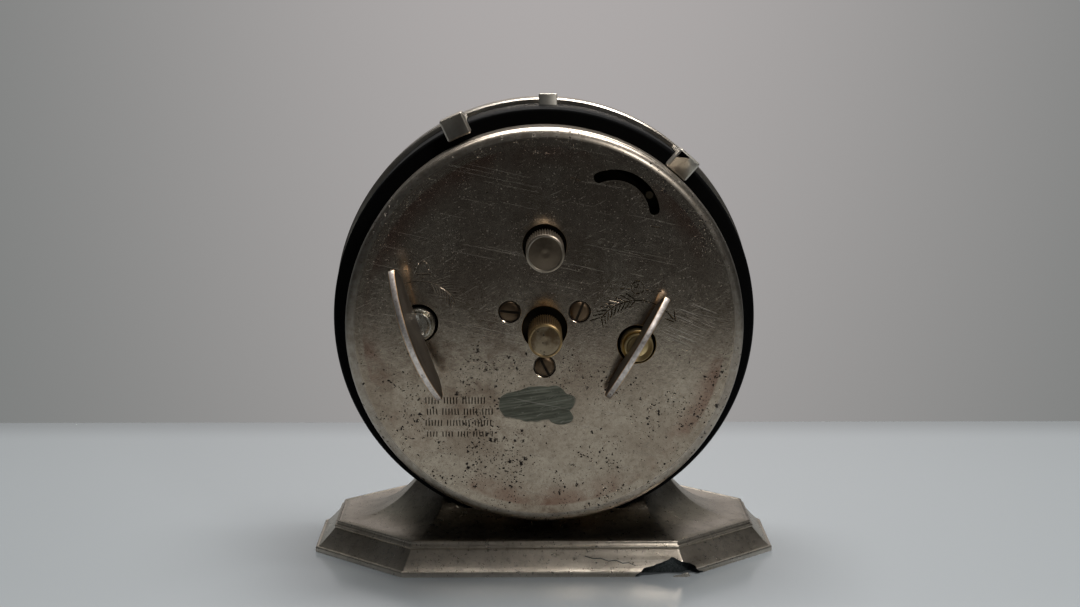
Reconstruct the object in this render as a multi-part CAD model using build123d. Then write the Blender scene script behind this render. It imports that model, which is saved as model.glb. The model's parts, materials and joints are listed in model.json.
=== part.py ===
from build123d import *
import math
import os

# A wind-up interval timer of the bell-back desk-clock pattern: a nickelled bell
# cover over the back, a black drum case, and a cast pot-metal stand.
# Millimetres. +Z is up, the dial faces -Y, the winding side faces +Y.
# The drum is modelled in its own frame: x to the right as seen from the dial,
# y up, and z the depth, counted from the flat of the bell cover towards the dial.

# ---- driving dimensions: drum and stand -------------------------------------
AXIS_Z = 59.6           # height of the drum axis above the table
BACK_Y = 20.5           # world Y of the flat of the bell cover

BELL_R = 48.0
BELL_WALL = 0.9
BELL_SHOULDER = 2.2
BELL_DEPTH = 13.6

CASE_R = 51.9
CASE_WALL = 0.8
CASE_BACK = 14.4
CASE_FRONT = 36.0
CASE_OPENING_R = 42.0

BEZEL_R = 53.2
BEZEL_BACK = 35.0
BEZEL_FRONT = 46.0
BEZEL_OPENING_R = 46.0

DIAL_Z = 33.6
DIAL_R = 50.8
DIAL_THICK = 0.5

FOOT_LENGTH = 115.0     # along X
FOOT_WIDTH = 72.0       # along Y
FOOT_CHAMFER = 23.0
FOOT_CENTRE = 29.0      # depth of the stand's middle plane
FOOT_LIP = 1.3
CAST_WALL = 2.2
SADDLE_GAP = 0.02

# ---- driving dimensions: movement -------------------------------------------
BACK_PLATE = (6.0, 7.2)
FRONT_PLATE = (25.0, 26.2)
BACK_PLATE_R = 41.0
FRONT_PLATE_R = 46.0
SHAKE = 0.1             # end play of each arbor
PIVOT_R = 0.6
FIT = 0.05              # radial running clearance

CENTRE = (0.0, 0.0)
ALARM_SET = (0.0, 19.9)
TIME_KEY = (-22.1, -3.9)
ALARM_KEY = (30.1, 1.2)
BALANCE = (-16.5, 27.2)
THIRD = (16.0, 12.0)
FOURTH = (10.0, 25.0)
ESCAPE = (-0.5, 28.3)
LEVER = (-8.3, 30.0)
ALARM_ESCAPE = (24.0, -14.0)
HAMMER = (14.0, -20.0)
SHUTOFF = (-1.1, 36.0)
MINUTE_ANGLE = -60.0
MINUTE_MODULE = 0.42
CANNON_TEETH, MINUTE_TEETH = 12, 36
MINUTE_PINION_TEETH, HOUR_TEETH, ALARM_TEETH = 10, 40, 40
GREAT_TEETH, CENTRE_TEETH, THIRD_TEETH, FOURTH_TEETH = 64, 64, 60, 48
ALARM_GREAT_TEETH = 48
LEAVES = 8

# Tooth shapes: addendum and dedendum in modules, then the tooth's share of the
# pitch at the pitch circle and at the tip.
WHEEL_TOOTH = (0.9, 1.2, 0.42, 0.16)
LEAF_TOOTH = (0.45, 1.25, 0.34, 0.24)
EQUAL_TOOTH = (0.8, 1.1, 0.42, 0.16)

KEY_HOLE_R = 4.6
HUB_R = 3.9
CENTRE_HOLE_R = 5.35
ALARM_SET_HOLE_R = 5.2
BELL_SCREW_R = 9.3
BELL_SCREW_ANGLES = (26.0, 154.0, 270.0)
REGULATOR_R = 9.7
REGULATOR_ENDS = (68.0, 172.0)
REGULATOR_REST = 150.0
PILLARS = ((-30.0, 23.0), (26.0, 29.0), (34.0, -17.5), (-24.0, -30.0))
CASE_PILLAR_R = 44.0
CASE_PILLAR_ANGLES = (30.0, 150.0, 270.0)
DIAL_FEET_R = 40.0
DIAL_FEET_ANGLES = (20.0, 140.0, 260.0)
CLIP_ANGLES = {"left": 65.7, "right": 131.1}
CLIP_LIFT = {"left": 1.2, "right": 0.0}
SADDLE_SCREW_X = 9.0
SADDLE_SCREW_Z = 29.0

DRUM = Plane(origin=(0, BACK_Y, AXIS_Z), x_dir=(1, 0, 0), z_dir=(0, -1, 0)).location


# ---- small tools -------------------------------------------------------------
def rod(radius, start, end, at=CENTRE):
    return Pos(at[0], at[1], start) * Cylinder(
        radius, end - start, align=(Align.CENTER, Align.CENTER, Align.MIN))


def ring(outer, inner, start, end, at=CENTRE):
    return rod(outer, start, end, at) - rod(inner, start - 1, end + 1, at)


def slab(length, width, start, end, at=CENTRE, angle=0.0, shift=0.0):
    """A bar whose length lies along angle; shift moves its middle along that line."""
    bar = Pos(shift, 0, 0) * Box(length, width, end - start,
                                 align=(Align.CENTER, Align.CENTER, Align.MIN))
    return Pos(at[0], at[1], start) * Rot(0, 0, angle) * bar


def link(a, b, width, start, end):
    """A flat bar from point a to point b."""
    length = math.dist(a, b)
    angle = math.degrees(math.atan2(b[1] - a[1], b[0] - a[0]))
    return slab(length, width, start, end, a, angle, length / 2)


def polar(radius, angle, at=CENTRE):
    turn = math.radians(angle)
    return (at[0] + radius * math.cos(turn), at[1] + radius * math.sin(turn))


def bearing(a, b):
    return math.degrees(math.atan2(b[1] - a[1], b[0] - a[0]))


def prism(points, start, end):
    face = make_face(Polyline(*points, close=True))
    return Pos(0, 0, start) * extrude(face, amount=end - start, dir=(0, 0, 1))


def toothed(teeth, module, shape, start, end, at, first):
    """A toothed disc with the middle of one tooth at the angle first."""
    addendum, dedendum, share, tip = shape
    pitch_r = teeth * module / 2
    pitch = 360 / teeth
    tip_r = pitch_r + addendum * module
    root_r = pitch_r - dedendum * module
    half = pitch * share / 2
    half_tip = pitch * tip / 2 * pitch_r / tip_r
    points = []
    for k in range(teeth):
        middle = first + k * pitch
        for offset, radius in ((-half, root_r), (-half, pitch_r), (-half_tip, tip_r),
                               (half_tip, tip_r), (half, pitch_r), (half, root_r)):
            points.append(polar(radius, middle + offset))
    return Pos(at[0], at[1], 0) * prism(points, start, end)


def windows(outer, inner, start, end, at, count, width, first=0.0):
    """The openings that leave a wheel with count spokes."""
    cut = ring(outer, inner, start - 1, end + 1, at)
    for k in range(count):
        cut -= slab(outer + 1, width, start - 2, end + 2, at, first + k * 360 / count, outer / 2)
    return cut


def spiral(inner, outer, turns, thick, start, end, at):
    """A flat coiled band."""
    steps = int(turns * 30)
    inside, outside = [], []
    for k in range(steps + 1):
        radius = inner + (outer - inner) * k / steps
        angle = 360 * turns * k / steps
        inside.append(polar(radius - thick / 2, angle))
        outside.append(polar(radius + thick / 2, angle))
    return Pos(at[0], at[1], 0) * prism(inside + outside[::-1], start, end)


def arbor(at, radius):
    """A plain arbor between the plates, with a thin pivot at each end."""
    low, high = BACK_PLATE[1] + SHAKE, FRONT_PLATE[0] - SHAKE
    return rod(radius, low, high, at) + rod(PIVOT_R, BACK_PLATE[0], FRONT_PLATE[1], at)


def knurled(radius, start, end, ridges, depth, at):
    points = []
    for k in range(ridges * 2):
        points.append(polar(radius - depth * (k % 2), k * 180 / ridges))
    return Pos(at[0], at[1], 0) * prism(points, start, end)


def turned(points):
    """A body of revolution about the drum axis; points are (radius, depth)."""
    profile = make_face(Polyline(*[(r, 0, z) for r, z in points], close=True))
    return revolve(profile, Axis.Z)


# ---- stand -------------------------------------------------------------------
def octagon(inset, z):
    """The stand's outline, shrunk by inset on every side."""
    half_x = FOOT_LENGTH / 2 - inset
    half_y = FOOT_WIDTH / 2 - inset
    cut = FOOT_CHAMFER - inset * (2 - math.sqrt(2))
    corners = [(half_x - cut, half_y), (-half_x + cut, half_y), (-half_x, half_y - cut),
               (-half_x, -half_y + cut), (-half_x + cut, -half_y), (half_x - cut, -half_y),
               (half_x, -half_y + cut), (half_x, half_y - cut)]
    y_middle = BACK_Y - FOOT_CENTRE
    return make_face(Polyline(*[(x, y + y_middle, z) for x, y in corners], close=True))


def stand_levels(shrink, drop):
    """(inset, height) from the foot up to the neck; the top sweeps up like a roof."""
    levels = [(0.0, 0.0), (0.0, FOOT_LIP), (4.9, 5.9), (5.1, 7.3), (6.6, 7.5)]
    levels += [(6.6 + 19.9 * t, 7.5 + 10.5 * t ** 2.7) for t in (0.35, 0.6, 0.8, 0.92, 1.0)]
    moved = [(inset + shrink, z - drop) for inset, z in levels]
    return [(inset, z) for inset, z in moved if z > 0 or drop == 0]


def stacked(levels):
    body = None
    for low, high in zip(levels, levels[1:]):
        layer = loft([octagon(*low), octagon(*high)], ruled=True)
        body = layer if body is None else body + layer
    return body


def base_casting():
    body = stacked(stand_levels(0, 0))
    inner = stand_levels(CAST_WALL, CAST_WALL)
    hollow = stacked([(inner[0][0], -1.0)] + inner)
    ceiling = DRUM * rod(CASE_R + CAST_WALL, -20, 80)
    body -= hollow - ceiling
    body -= DRUM * rod(CASE_R + SADDLE_GAP, CASE_BACK - 0.6, BEZEL_BACK - 0.3)
    body -= DRUM * rod(BEZEL_R + 0.5, BEZEL_BACK - 0.4, 90)
    body -= DRUM * rod(BELL_R + 1.2, -30, CASE_BACK - 0.5)
    for side in (-1, 1):
        body -= Pos(side * SADDLE_SCREW_X, BACK_Y - SADDLE_SCREW_Z, 6) * Cylinder(1.6, 20)
    return body


def saddle_bolt(side):
    """One fixing point of the drum on the stand, and its slope there."""
    return Pos(side * SADDLE_SCREW_X, BACK_Y - SADDLE_SCREW_Z, 0)


def base_screws():
    screws = []
    for side in (-1, 1):
        shank = Pos(0, 0, 8.5) * Cylinder(1.5, 10)
        head = Pos(0, 0, 2.6) * Cylinder(2.8, 1.8)
        slot = Pos(0, 0, 1.7) * Box(7, 0.7, 1.0)
        screws.append(saddle_bolt(side) * (shank + head - slot))
    return screws


def base_nuts():
    nuts = []
    for side in (-1, 1):
        nut = Pos(0, 0, 11.6) * extrude(RegularPolygon(2.8, 6), amount=2.0)
        nuts.append(saddle_bolt(side) * (nut - Pos(0, 0, 12) * Cylinder(1.5, 10)))
    return nuts


# ---- case ----------------------------------------------------------------------
def bell_cover():
    r, t, s = BELL_R, BELL_WALL, BELL_SHOULDER
    outer = rod(r, 0, BELL_DEPTH)
    outer = fillet(outer.edges().group_by(Axis.Z)[0], s)
    inner = rod(r - t, t, BELL_DEPTH + 1)
    inner = fillet(inner.edges().group_by(Axis.Z)[0], s - t)
    cover = outer - inner
    cover -= rod(CENTRE_HOLE_R, -1, t + 1)
    cover -= rod(ALARM_SET_HOLE_R, -1, t + 1, ALARM_SET)
    cover -= rod(KEY_HOLE_R, -1, t + 1, TIME_KEY)
    cover -= rod(KEY_HOLE_R, -1, t + 1, ALARM_KEY)
    for angle in BELL_SCREW_ANGLES:
        cover -= rod(1.4, -1, t + 1, polar(BELL_SCREW_R, angle))
        cover -= rod(2.7, -1, 0.35, polar(BELL_SCREW_R, angle))
    return cover - regulator_slot()


def regulator_slot():
    half = 1.25
    first, last = REGULATOR_ENDS
    slot = ring(REGULATOR_R + half, REGULATOR_R - half, -1, 2, BALANCE)
    wedge = [CENTRE] + [polar(30, first + (last - first) * k / 4) for k in range(5)]
    slot &= Pos(BALANCE[0], BALANCE[1], 0) * prism(wedge, -2, 3)
    for angle in REGULATOR_ENDS:
        slot += rod(half, -1, 2, polar(REGULATOR_R, angle, BALANCE))
    return slot


def bell_posts():
    posts = []
    for angle in BELL_SCREW_ANGLES:
        at = polar(BELL_SCREW_R, angle)
        posts.append(rod(2.3, BELL_WALL, BACK_PLATE[0], at) - rod(1.2, 0, 4.6, at))
    return posts


def bell_screws():
    screws = []
    for angle in BELL_SCREW_ANGLES:
        at = polar(BELL_SCREW_R, angle)
        screw = rod(2.4, -0.5, 0.35, at) + rod(1.2, 0.3, 4.4, at)
        screws.append(screw - slab(6, 0.7, -1, 0.0, at, angle + 35))
    return screws


def case_shell():
    shell = ring(CASE_R, CASE_R - CASE_WALL, CASE_BACK, CASE_FRONT)
    shell += ring(CASE_R - CASE_WALL / 2, CASE_OPENING_R, CASE_BACK, CASE_BACK + CASE_WALL)
    for angle in CASE_PILLAR_ANGLES:
        shell -= rod(1.25, 10, 20, polar(CASE_PILLAR_R, angle))
    shell -= slab(11.5, 8, 27.6, 29.4, (SHUTOFF[0], CASE_R))
    for side in (-1, 1):
        bolt = DRUM.inverse() * saddle_bolt(side)
        shell -= bolt * Pos(0, 0, 10) * Cylinder(1.6, 20)
    return shell


def case_pillars():
    pillars = []
    for angle in CASE_PILLAR_ANGLES:
        at = polar(CASE_PILLAR_R, angle)
        post = rod(1.9, CASE_BACK + CASE_WALL, FRONT_PLATE[0], at)
        pillars.append(post - rod(1.2, 14, 22, at))
    return pillars


def case_screws():
    screws = []
    for angle in CASE_PILLAR_ANGLES:
        at = polar(CASE_PILLAR_R, angle)
        screw = rod(1.9, CASE_BACK - 1.0, CASE_BACK, at) + rod(1.2, CASE_BACK, 21.5, at)
        screws.append(screw - slab(5, 0.5, CASE_BACK - 1.5, CASE_BACK - 0.5, at, angle))
    return screws


def bezel():
    r, inner = BEZEL_R, CASE_R + FIT
    back, front, lip = BEZEL_BACK, BEZEL_FRONT, BEZEL_OPENING_R
    body = turned([(inner, back), (inner, 44.9), (lip, 44.9), (lip, 45.5), (lip + 1.2, front),
                   (r - 1.6, front), (r - 0.5, front - 0.5), (r, front - 1.6), (r, 42.0),
                   (r - 0.5, 41.3), (r - 0.5, 38.0), (r, 37.3), (r, back)])
    return body


def crystal():
    return rod(BEZEL_R - 2.4, 43.3, 44.9)


def reflector_ring():
    return turned([(49.2, DIAL_Z + DIAL_THICK), (50.7, DIAL_Z + DIAL_THICK), (50.7, 43.3),
                   (46.6, 43.3), (46.6, 42.9), (49.2, 35.5)])


def dial():
    plate = rod(DIAL_R, DIAL_Z, DIAL_Z + DIAL_THICK)
    plate -= rod(3.4, DIAL_Z - 1, DIAL_Z + 1)
    plate -= rod(1.5, DIAL_Z - 1, DIAL_Z + 1, ALARM_SET)
    for angle in DIAL_FEET_ANGLES:
        plate += rod(0.8, FRONT_PLATE[0] + 0.2, DIAL_Z, polar(DIAL_FEET_R, angle))
    return plate


def marker_clip(side):
    """A sliding marker that rides the rim of the case, with a rounded block as its grip."""
    grip = fillet(slab(5.6, 6.0, 8.5, 14.2, shift=51.0 + CLIP_LIFT[side]).edges(), 0.5)
    strap = ring(CASE_R + 1.1, CASE_R + 0.3, 9.4, 31.0) & slab(20, 5.4, 8, 32, shift=50)
    return Rot(0, 0, CLIP_ANGLES[side]) * (grip + strap)


# ---- plates ----------------------------------------------------------------------
def pivot_holes(plate):
    for at in (THIRD, FOURTH, ESCAPE, LEVER, BALANCE, ALARM_ESCAPE, HAMMER):
        plate -= rod(PIVOT_R + FIT, 0, 40, at)
    return plate


def back_plate():
    plate = pivot_holes(rod(BACK_PLATE_R, *BACK_PLATE))
    plate += ring(3.0, PIVOT_R + FIT, 4.4, BACK_PLATE[0], BALANCE)
    plate -= rod(1.2 + FIT, 0, 10)
    plate -= rod(1.1 + FIT, 0, 10, ALARM_SET)
    for at in (TIME_KEY, ALARM_KEY):
        plate -= rod(2.0 + FIT, 0, 10, at)
    for at in PILLARS:
        plate -= rod(1.3, 0, 10, at)
    return plate


def front_plate():
    plate = pivot_holes(rod(FRONT_PLATE_R, *FRONT_PLATE))
    plate -= rod(1.2 + FIT, 20, 30)
    plate -= rod(1.1 + FIT, 20, 30, ALARM_SET)
    for at in (TIME_KEY, ALARM_KEY):
        plate -= rod(1.4 + FIT, 20, 30, at)
    for at in PILLARS:
        plate -= rod(1.3, 20, 30, at)
    for angle in DIAL_FEET_ANGLES:
        plate -= rod(0.8 + FIT, 20, 30, polar(DIAL_FEET_R, angle))
    return plate


def plate_pillars():
    return [rod(2.0, BACK_PLATE[1], FRONT_PLATE[0], at) + rod(1.3, 4.2, FRONT_PLATE[1], at)
            for at in PILLARS]


def pillar_nuts():
    nuts = []
    for at in PILLARS:
        hexagon = Pos(at[0], at[1], 4.5) * extrude(RegularPolygon(2.6, 6), amount=1.5)
        nuts.append(hexagon - rod(1.3, 4, 7, at))
    return nuts


def hairspring_stud():
    return rod(0.5, BACK_PLATE[1], 8.7, polar(6.6, 20, BALANCE))


# ---- going train -----------------------------------------------------------------
def module_for(a, b, wheel, pinion):
    return 2 * math.dist(a, b) / (wheel + pinion)


def wheel_at(at, mate, teeth, mate_teeth, start, end, spokes, bore):
    module = module_for(at, mate, teeth, mate_teeth)
    body = toothed(teeth, module, WHEEL_TOOTH, start, end, at, bearing(at, mate))
    rim = teeth * module / 2 - 1.2 * module - 1.0
    body -= windows(rim, 3.6, start, end, at, spokes, 1.2)
    return body - rod(bore, start - 1, end + 1, at)


def pinion_at(at, mate, leaves, mate_teeth, start, end):
    module = module_for(at, mate, leaves, mate_teeth)
    first = bearing(at, mate) + 180 / leaves
    return toothed(leaves, module, LEAF_TOOTH, start, end, at, first)


def ratchet(at, radius, start, end):
    points = []
    for k in range(16):
        points.append(polar(radius, k * 22.5))
        points.append(polar(radius - 0.9, k * 22.5 + 2))
    return Pos(at[0], at[1], 0) * prism(points, start, end)


def click(at, radius, angle, start, end, wheel_face):
    """A pawl on a stud riveted to the great wheel, its nose just clear of the ratchet."""
    stud = polar(radius + 2.6, angle, at)
    nose = polar(radius + 0.8, angle - 38, at)
    body = link(stud, nose, 1.2, start, end) + rod(1.2, start, end, stud)
    return body + rod(0.7, end, wheel_face, stud)


def winding_arbor(at, start, ratchet_span):
    """The squared winding arbor with its ratchet wheel."""
    body = rod(2.0, start, FRONT_PLATE[0] - SHAKE, at)
    body += rod(1.4, 20, FRONT_PLATE[1], at)
    return body + ratchet(at, 4.6, *ratchet_span)


def time_arbor():
    return winding_arbor(TIME_KEY, -0.5, (18.0, 18.9))


def time_mainspring():
    return spiral(2.4, 13.2, 6, 0.4, 8.5, 17.5, TIME_KEY)


def time_great_wheel():
    return wheel_at(TIME_KEY, CENTRE, GREAT_TEETH, LEAVES, 19.5, 20.5, 5, 2.0 + FIT)


def centre_wheel():
    wheel = wheel_at(CENTRE, THIRD, CENTRE_TEETH, LEAVES, 22.6, 23.4, 5, 1.2 + FIT)
    pinion = pinion_at(CENTRE, TIME_KEY, LEAVES, GREAT_TEETH, 18.8, 21.2)
    sleeve = rod(1.75, 18.8, 24.2)
    return wheel + pinion + sleeve - rod(1.2 + FIT, 10, 30)


def train_wheel(at, wheel_mate, teeth, wheel_span, pinion_mate, mate_teeth, pinion_span, spokes):
    wheel = wheel_at(at, wheel_mate, teeth, LEAVES, *wheel_span, spokes, 0.3)
    pinion = pinion_at(at, pinion_mate, LEAVES, mate_teeth, *pinion_span)
    return arbor(at, 0.9) + wheel + pinion


def third_wheel():
    return train_wheel(THIRD, FOURTH, THIRD_TEETH, (20.3, 21.1),
                       CENTRE, CENTRE_TEETH, (21.8, 24.2), 4)


def fourth_wheel():
    return train_wheel(FOURTH, ESCAPE, FOURTH_TEETH, (16.0, 16.8),
                       THIRD, THIRD_TEETH, (19.6, 21.8), 4)


def escape_wheel():
    points = []
    for k in range(15):
        points.append(polar(5.5, k * 24))
        points.append(polar(4.2, k * 24 + 4))
        points.append(polar(4.2, k * 24 + 19))
    wheel = Pos(ESCAPE[0], ESCAPE[1], 0) * prism(points, 12.2, 13.0)
    wheel -= windows(3.4, 1.7, 12.2, 13.0, ESCAPE, 4, 0.8)
    pinion = pinion_at(ESCAPE, FOURTH, LEAVES, FOURTH_TEETH, 15.2, 17.6)
    return arbor(ESCAPE, 0.8) + wheel + pinion


def pallet_lever():
    """A pin-pallet lever: two steel pins stand beside the escape wheel."""
    towards = bearing(ESCAPE, LEVER)
    body = arbor(LEVER, 0.6) + rod(1.5, 13.6, 14.4, LEVER)
    for offset in (-34, 34):
        pin = polar(6.6, towards + offset, ESCAPE)
        body += link(LEVER, pin, 1.0, 13.6, 14.4)
        body += rod(0.5, 13.6, 14.4, pin)
        body += rod(0.3, 11.8, 13.8, pin)
    fork = polar(2.9, bearing(BALANCE, LEVER), BALANCE)
    return body + link(LEVER, fork, 0.9, 13.6, 14.4)


def balance_wheel():
    rim = ring(7.5, 6.4, 9.0, 10.4, BALANCE)
    rim += ring(7.5, 0.4, 9.4, 10.0, BALANCE)
    rim -= windows(6.4, 1.6, 9, 10.4, BALANCE, 3, 1.1)
    roller = rod(1.9, 13.4, 14.0, BALANCE) + rod(0.25, 13.4, 14.8, polar(1.5, 70, BALANCE))
    return arbor(BALANCE, 0.8) + rim + roller


def hairspring():
    return spiral(1.2, 5.7, 7, 0.14, 7.9, 8.5, BALANCE) + ring(1.25, 0.8, 7.7, 8.7, BALANCE)


def regulator():
    """The rate lever turns on the balance boss; its bent end stands in the cover's slot."""
    tip = polar(REGULATOR_R, REGULATOR_REST, BALANCE)
    body = ring(4.2, 3.0 + FIT, 4.7, 5.5, BALANCE)
    body += link(polar(3.7, REGULATOR_REST, BALANCE), tip, 1.6, 4.7, 5.5)
    return body + rod(0.9, 0.3, 5.5, tip)


# ---- motion works and hands -------------------------------------------------------
MINUTE_DISTANCE = MINUTE_MODULE * (CANNON_TEETH + MINUTE_TEETH) / 2
MINUTE = polar(MINUTE_DISTANCE, MINUTE_ANGLE)


def knob(at, radius, tip, grip, hub_end):
    body = knurled(radius, tip + 0.8, grip, 40, 0.28, at)
    body += rod(radius - 0.5, tip, grip + 0.6, at)
    return body + rod(radius - 1.1, grip, hub_end, at)


def hand_set_knob():
    return knob(CENTRE, 4.0, -17.5, -3.0, 2.4) - rod(1.2, -14, 5)


def centre_arbor():
    return rod(1.2, -14.0, 39.6)


def cannon_pinion():
    module = module_for(MINUTE, CENTRE, MINUTE_TEETH, CANNON_TEETH)
    first = bearing(CENTRE, MINUTE) + 180 / CANNON_TEETH
    body = toothed(CANNON_TEETH, module, LEAF_TOOTH, 26.5, 28.6, CENTRE, first)
    return body + rod(1.7, 26.4, 38.0) - rod(1.2, 20, 50)


def minute_stud():
    return rod(0.9, FRONT_PLATE[1], 31.3, MINUTE) + rod(1.5, 30.8, 31.3, MINUTE)


def minute_wheel():
    wheel = wheel_at(MINUTE, CENTRE, MINUTE_TEETH, CANNON_TEETH, 27.2, 28.0, 4, 0.5)
    pinion = pinion_at(MINUTE, CENTRE, MINUTE_PINION_TEETH, HOUR_TEETH, 28.0, 30.6)
    return wheel + pinion - rod(0.9 + FIT, 20, 40, MINUTE)


def hour_wheel():
    module = module_for(MINUTE, CENTRE, MINUTE_PINION_TEETH, HOUR_TEETH)
    body = toothed(HOUR_TEETH, module, WHEEL_TOOTH, 29.2, 30.0, CENTRE, MINUTE_ANGLE)
    upper = module_for(ALARM_SET, CENTRE, ALARM_TEETH, ALARM_TEETH)
    body += toothed(ALARM_TEETH, upper, EQUAL_TOOTH, 31.6, 32.4, CENTRE, 90)
    body -= windows(7.2, 3.6, 31.6, 32.4, CENTRE, 4, 1.4)
    body += rod(2.6, 29.0, 36.8)
    return body - rod(1.7 + FIT, 20, 40)


def alarm_wheel():
    module = module_for(ALARM_SET, CENTRE, ALARM_TEETH, ALARM_TEETH)
    first = 270 + 180 / ALARM_TEETH
    body = toothed(ALARM_TEETH, module, EQUAL_TOOTH, 31.6, 32.4, ALARM_SET, first)
    body -= windows(7.6, 3.4, 31.6, 32.4, ALARM_SET, 4, 1.4)
    body += rod(2.2, 30.4, 32.4, ALARM_SET)
    return body - rod(1.1 + FIT, 20, 40, ALARM_SET)


def hand(length, width, tail, start, end, at, angle, boss, bore):
    """A spade hand: boss, tapering blade with a leaf, and a short tail."""
    blade = [(-tail, -width / 2), (length * 0.62, -width / 3), (length * 0.74, -width * 1.1),
             (length, 0), (length * 0.74, width * 1.1), (length * 0.62, width / 3),
             (-tail, width / 2)]
    body = prism(blade, start, end) + rod(boss, start, end) - rod(bore, start - 1, end + 1)
    return Pos(at[0], at[1], 0) * Rot(0, 0, angle) * body


def minute_hand():
    return hand(40.0, 1.8, 6.0, 38.0, 38.5, CENTRE, 30, 2.6, 1.2)


def hour_hand():
    return hand(27.0, 2.4, 0.0, 36.2, 36.7, CENTRE, 125, 3.8, 2.6)


def alarm_set_arbor():
    return rod(1.1, -11.0, 35.4, ALARM_SET) + rod(2.0, 27.0, 29.6, ALARM_SET)


def alarm_set_knob():
    return knob(ALARM_SET, 4.5, -14.2, -2.6, 2.4) - rod(1.1, -11, 5, ALARM_SET)


def alarm_hand():
    return hand(7.4, 1.1, 1.6, 34.6, 35.0, ALARM_SET, 200, 1.8, 1.1)


# ---- winding keys -------------------------------------------------------------------
def wing(span, near, shoulder, ends, crown, thick):
    """A sheet wing in the plane of its span and the depth, bowed along its outer edge."""
    half = span / 2
    outline = Polyline((half, 0, ends), (half * 0.86, 0, shoulder), (3.0, 0, near),
                       (-3.0, 0, near), (-half * 0.86, 0, shoulder), (-half, 0, ends))
    bow = ThreePointArc((half, 0, ends), (0, 0, crown), (-half, 0, ends))
    face = make_face([*outline.edges(), bow])
    return extrude(face, amount=thick / 2, dir=(0, 1, 0), both=True)


def winding_key(at, angle, plate, barrel_r):
    body = plate + rod(HUB_R, -4.0, 3.0)
    body += rod(barrel_r, -12.0, -3.5)
    body -= rod(2.0, -0.5, 5.0)
    return Pos(at[0], at[1], 0) * Rot(0, 0, angle) * body


def time_key():
    return winding_key(TIME_KEY, 120.5, wing(28.0, -1.4, -2.4, -5.2, -11.2, 1.6), 2.2)


def alarm_key():
    plate = wing(32.4, -3.4, -9.0, -17.0, -24.0, 1.6)
    return winding_key(ALARM_KEY, 70.3, plate, 2.2)


# ---- alarm train ---------------------------------------------------------------------
def alarm_arbor():
    return winding_arbor(ALARM_KEY, -0.5, (16.2, 17.1))


def alarm_mainspring():
    return spiral(2.4, 9.2, 5, 0.4, 8.5, 15.5, ALARM_KEY)


def alarm_great_wheel():
    return wheel_at(ALARM_KEY, ALARM_ESCAPE, ALARM_GREAT_TEETH, LEAVES, 17.8, 18.8, 4, 2.0 + FIT)


def alarm_escape_wheel():
    points = []
    for k in range(12):
        points.append(polar(5.8, k * 30))
        points.append(polar(4.2, k * 30 + 15))
    wheel = Pos(ALARM_ESCAPE[0], ALARM_ESCAPE[1], 0) * prism(points, 12.2, 13.0)
    pinion = pinion_at(ALARM_ESCAPE, ALARM_KEY, LEAVES, ALARM_GREAT_TEETH, 17.0, 19.6)
    return arbor(ALARM_ESCAPE, 0.9) + wheel + pinion


def alarm_hammer():
    """The hammer hangs beside the wall of the bell; its verge stands at the escape wheel."""
    head = polar(43.6, 250)
    body = arbor(HAMMER, 0.9) + rod(1.8, 10.2, 11.4, HAMMER)
    body += link(HAMMER, head, 1.4, 10.2, 11.4)
    body += rod(2.3, 8.0, 12.6, head)
    towards = bearing(HAMMER, ALARM_ESCAPE)
    for offset in (-40, 40):
        tip = polar(5.0, towards + offset, HAMMER)
        body += link(HAMMER, tip, 1.2, 12.2, 13.0)
    return body + rod(1.8, 11.4, 13.0, HAMMER)


def shutoff_screw():
    body = rod(1.0, FRONT_PLATE[1], 29.1, SHUTOFF) + rod(2.0, 29.1, 30.0, SHUTOFF)
    return body - slab(5, 0.5, 29.6, 31, SHUTOFF, 20)


def shutoff_lever():
    tip = (SHUTOFF[0], 54.6)
    body = link((SHUTOFF[0], SHUTOFF[1]), tip, 4.6, 28.0, 28.9)
    body += rod(3.0, 28.0, 28.9, SHUTOFF)
    body += ring(2.6, 1.0 + FIT, FRONT_PLATE[1] + 0.1, 28.0, SHUTOFF)
    return body - rod(1.0 + FIT, 20, 40, SHUTOFF)


# ---- assembly ----------------------------------------------------------------------
WORLD_PARTS = {
    "base_casting": base_casting,
    "base_screws": base_screws,
    "base_nuts": base_nuts,
}

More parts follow.
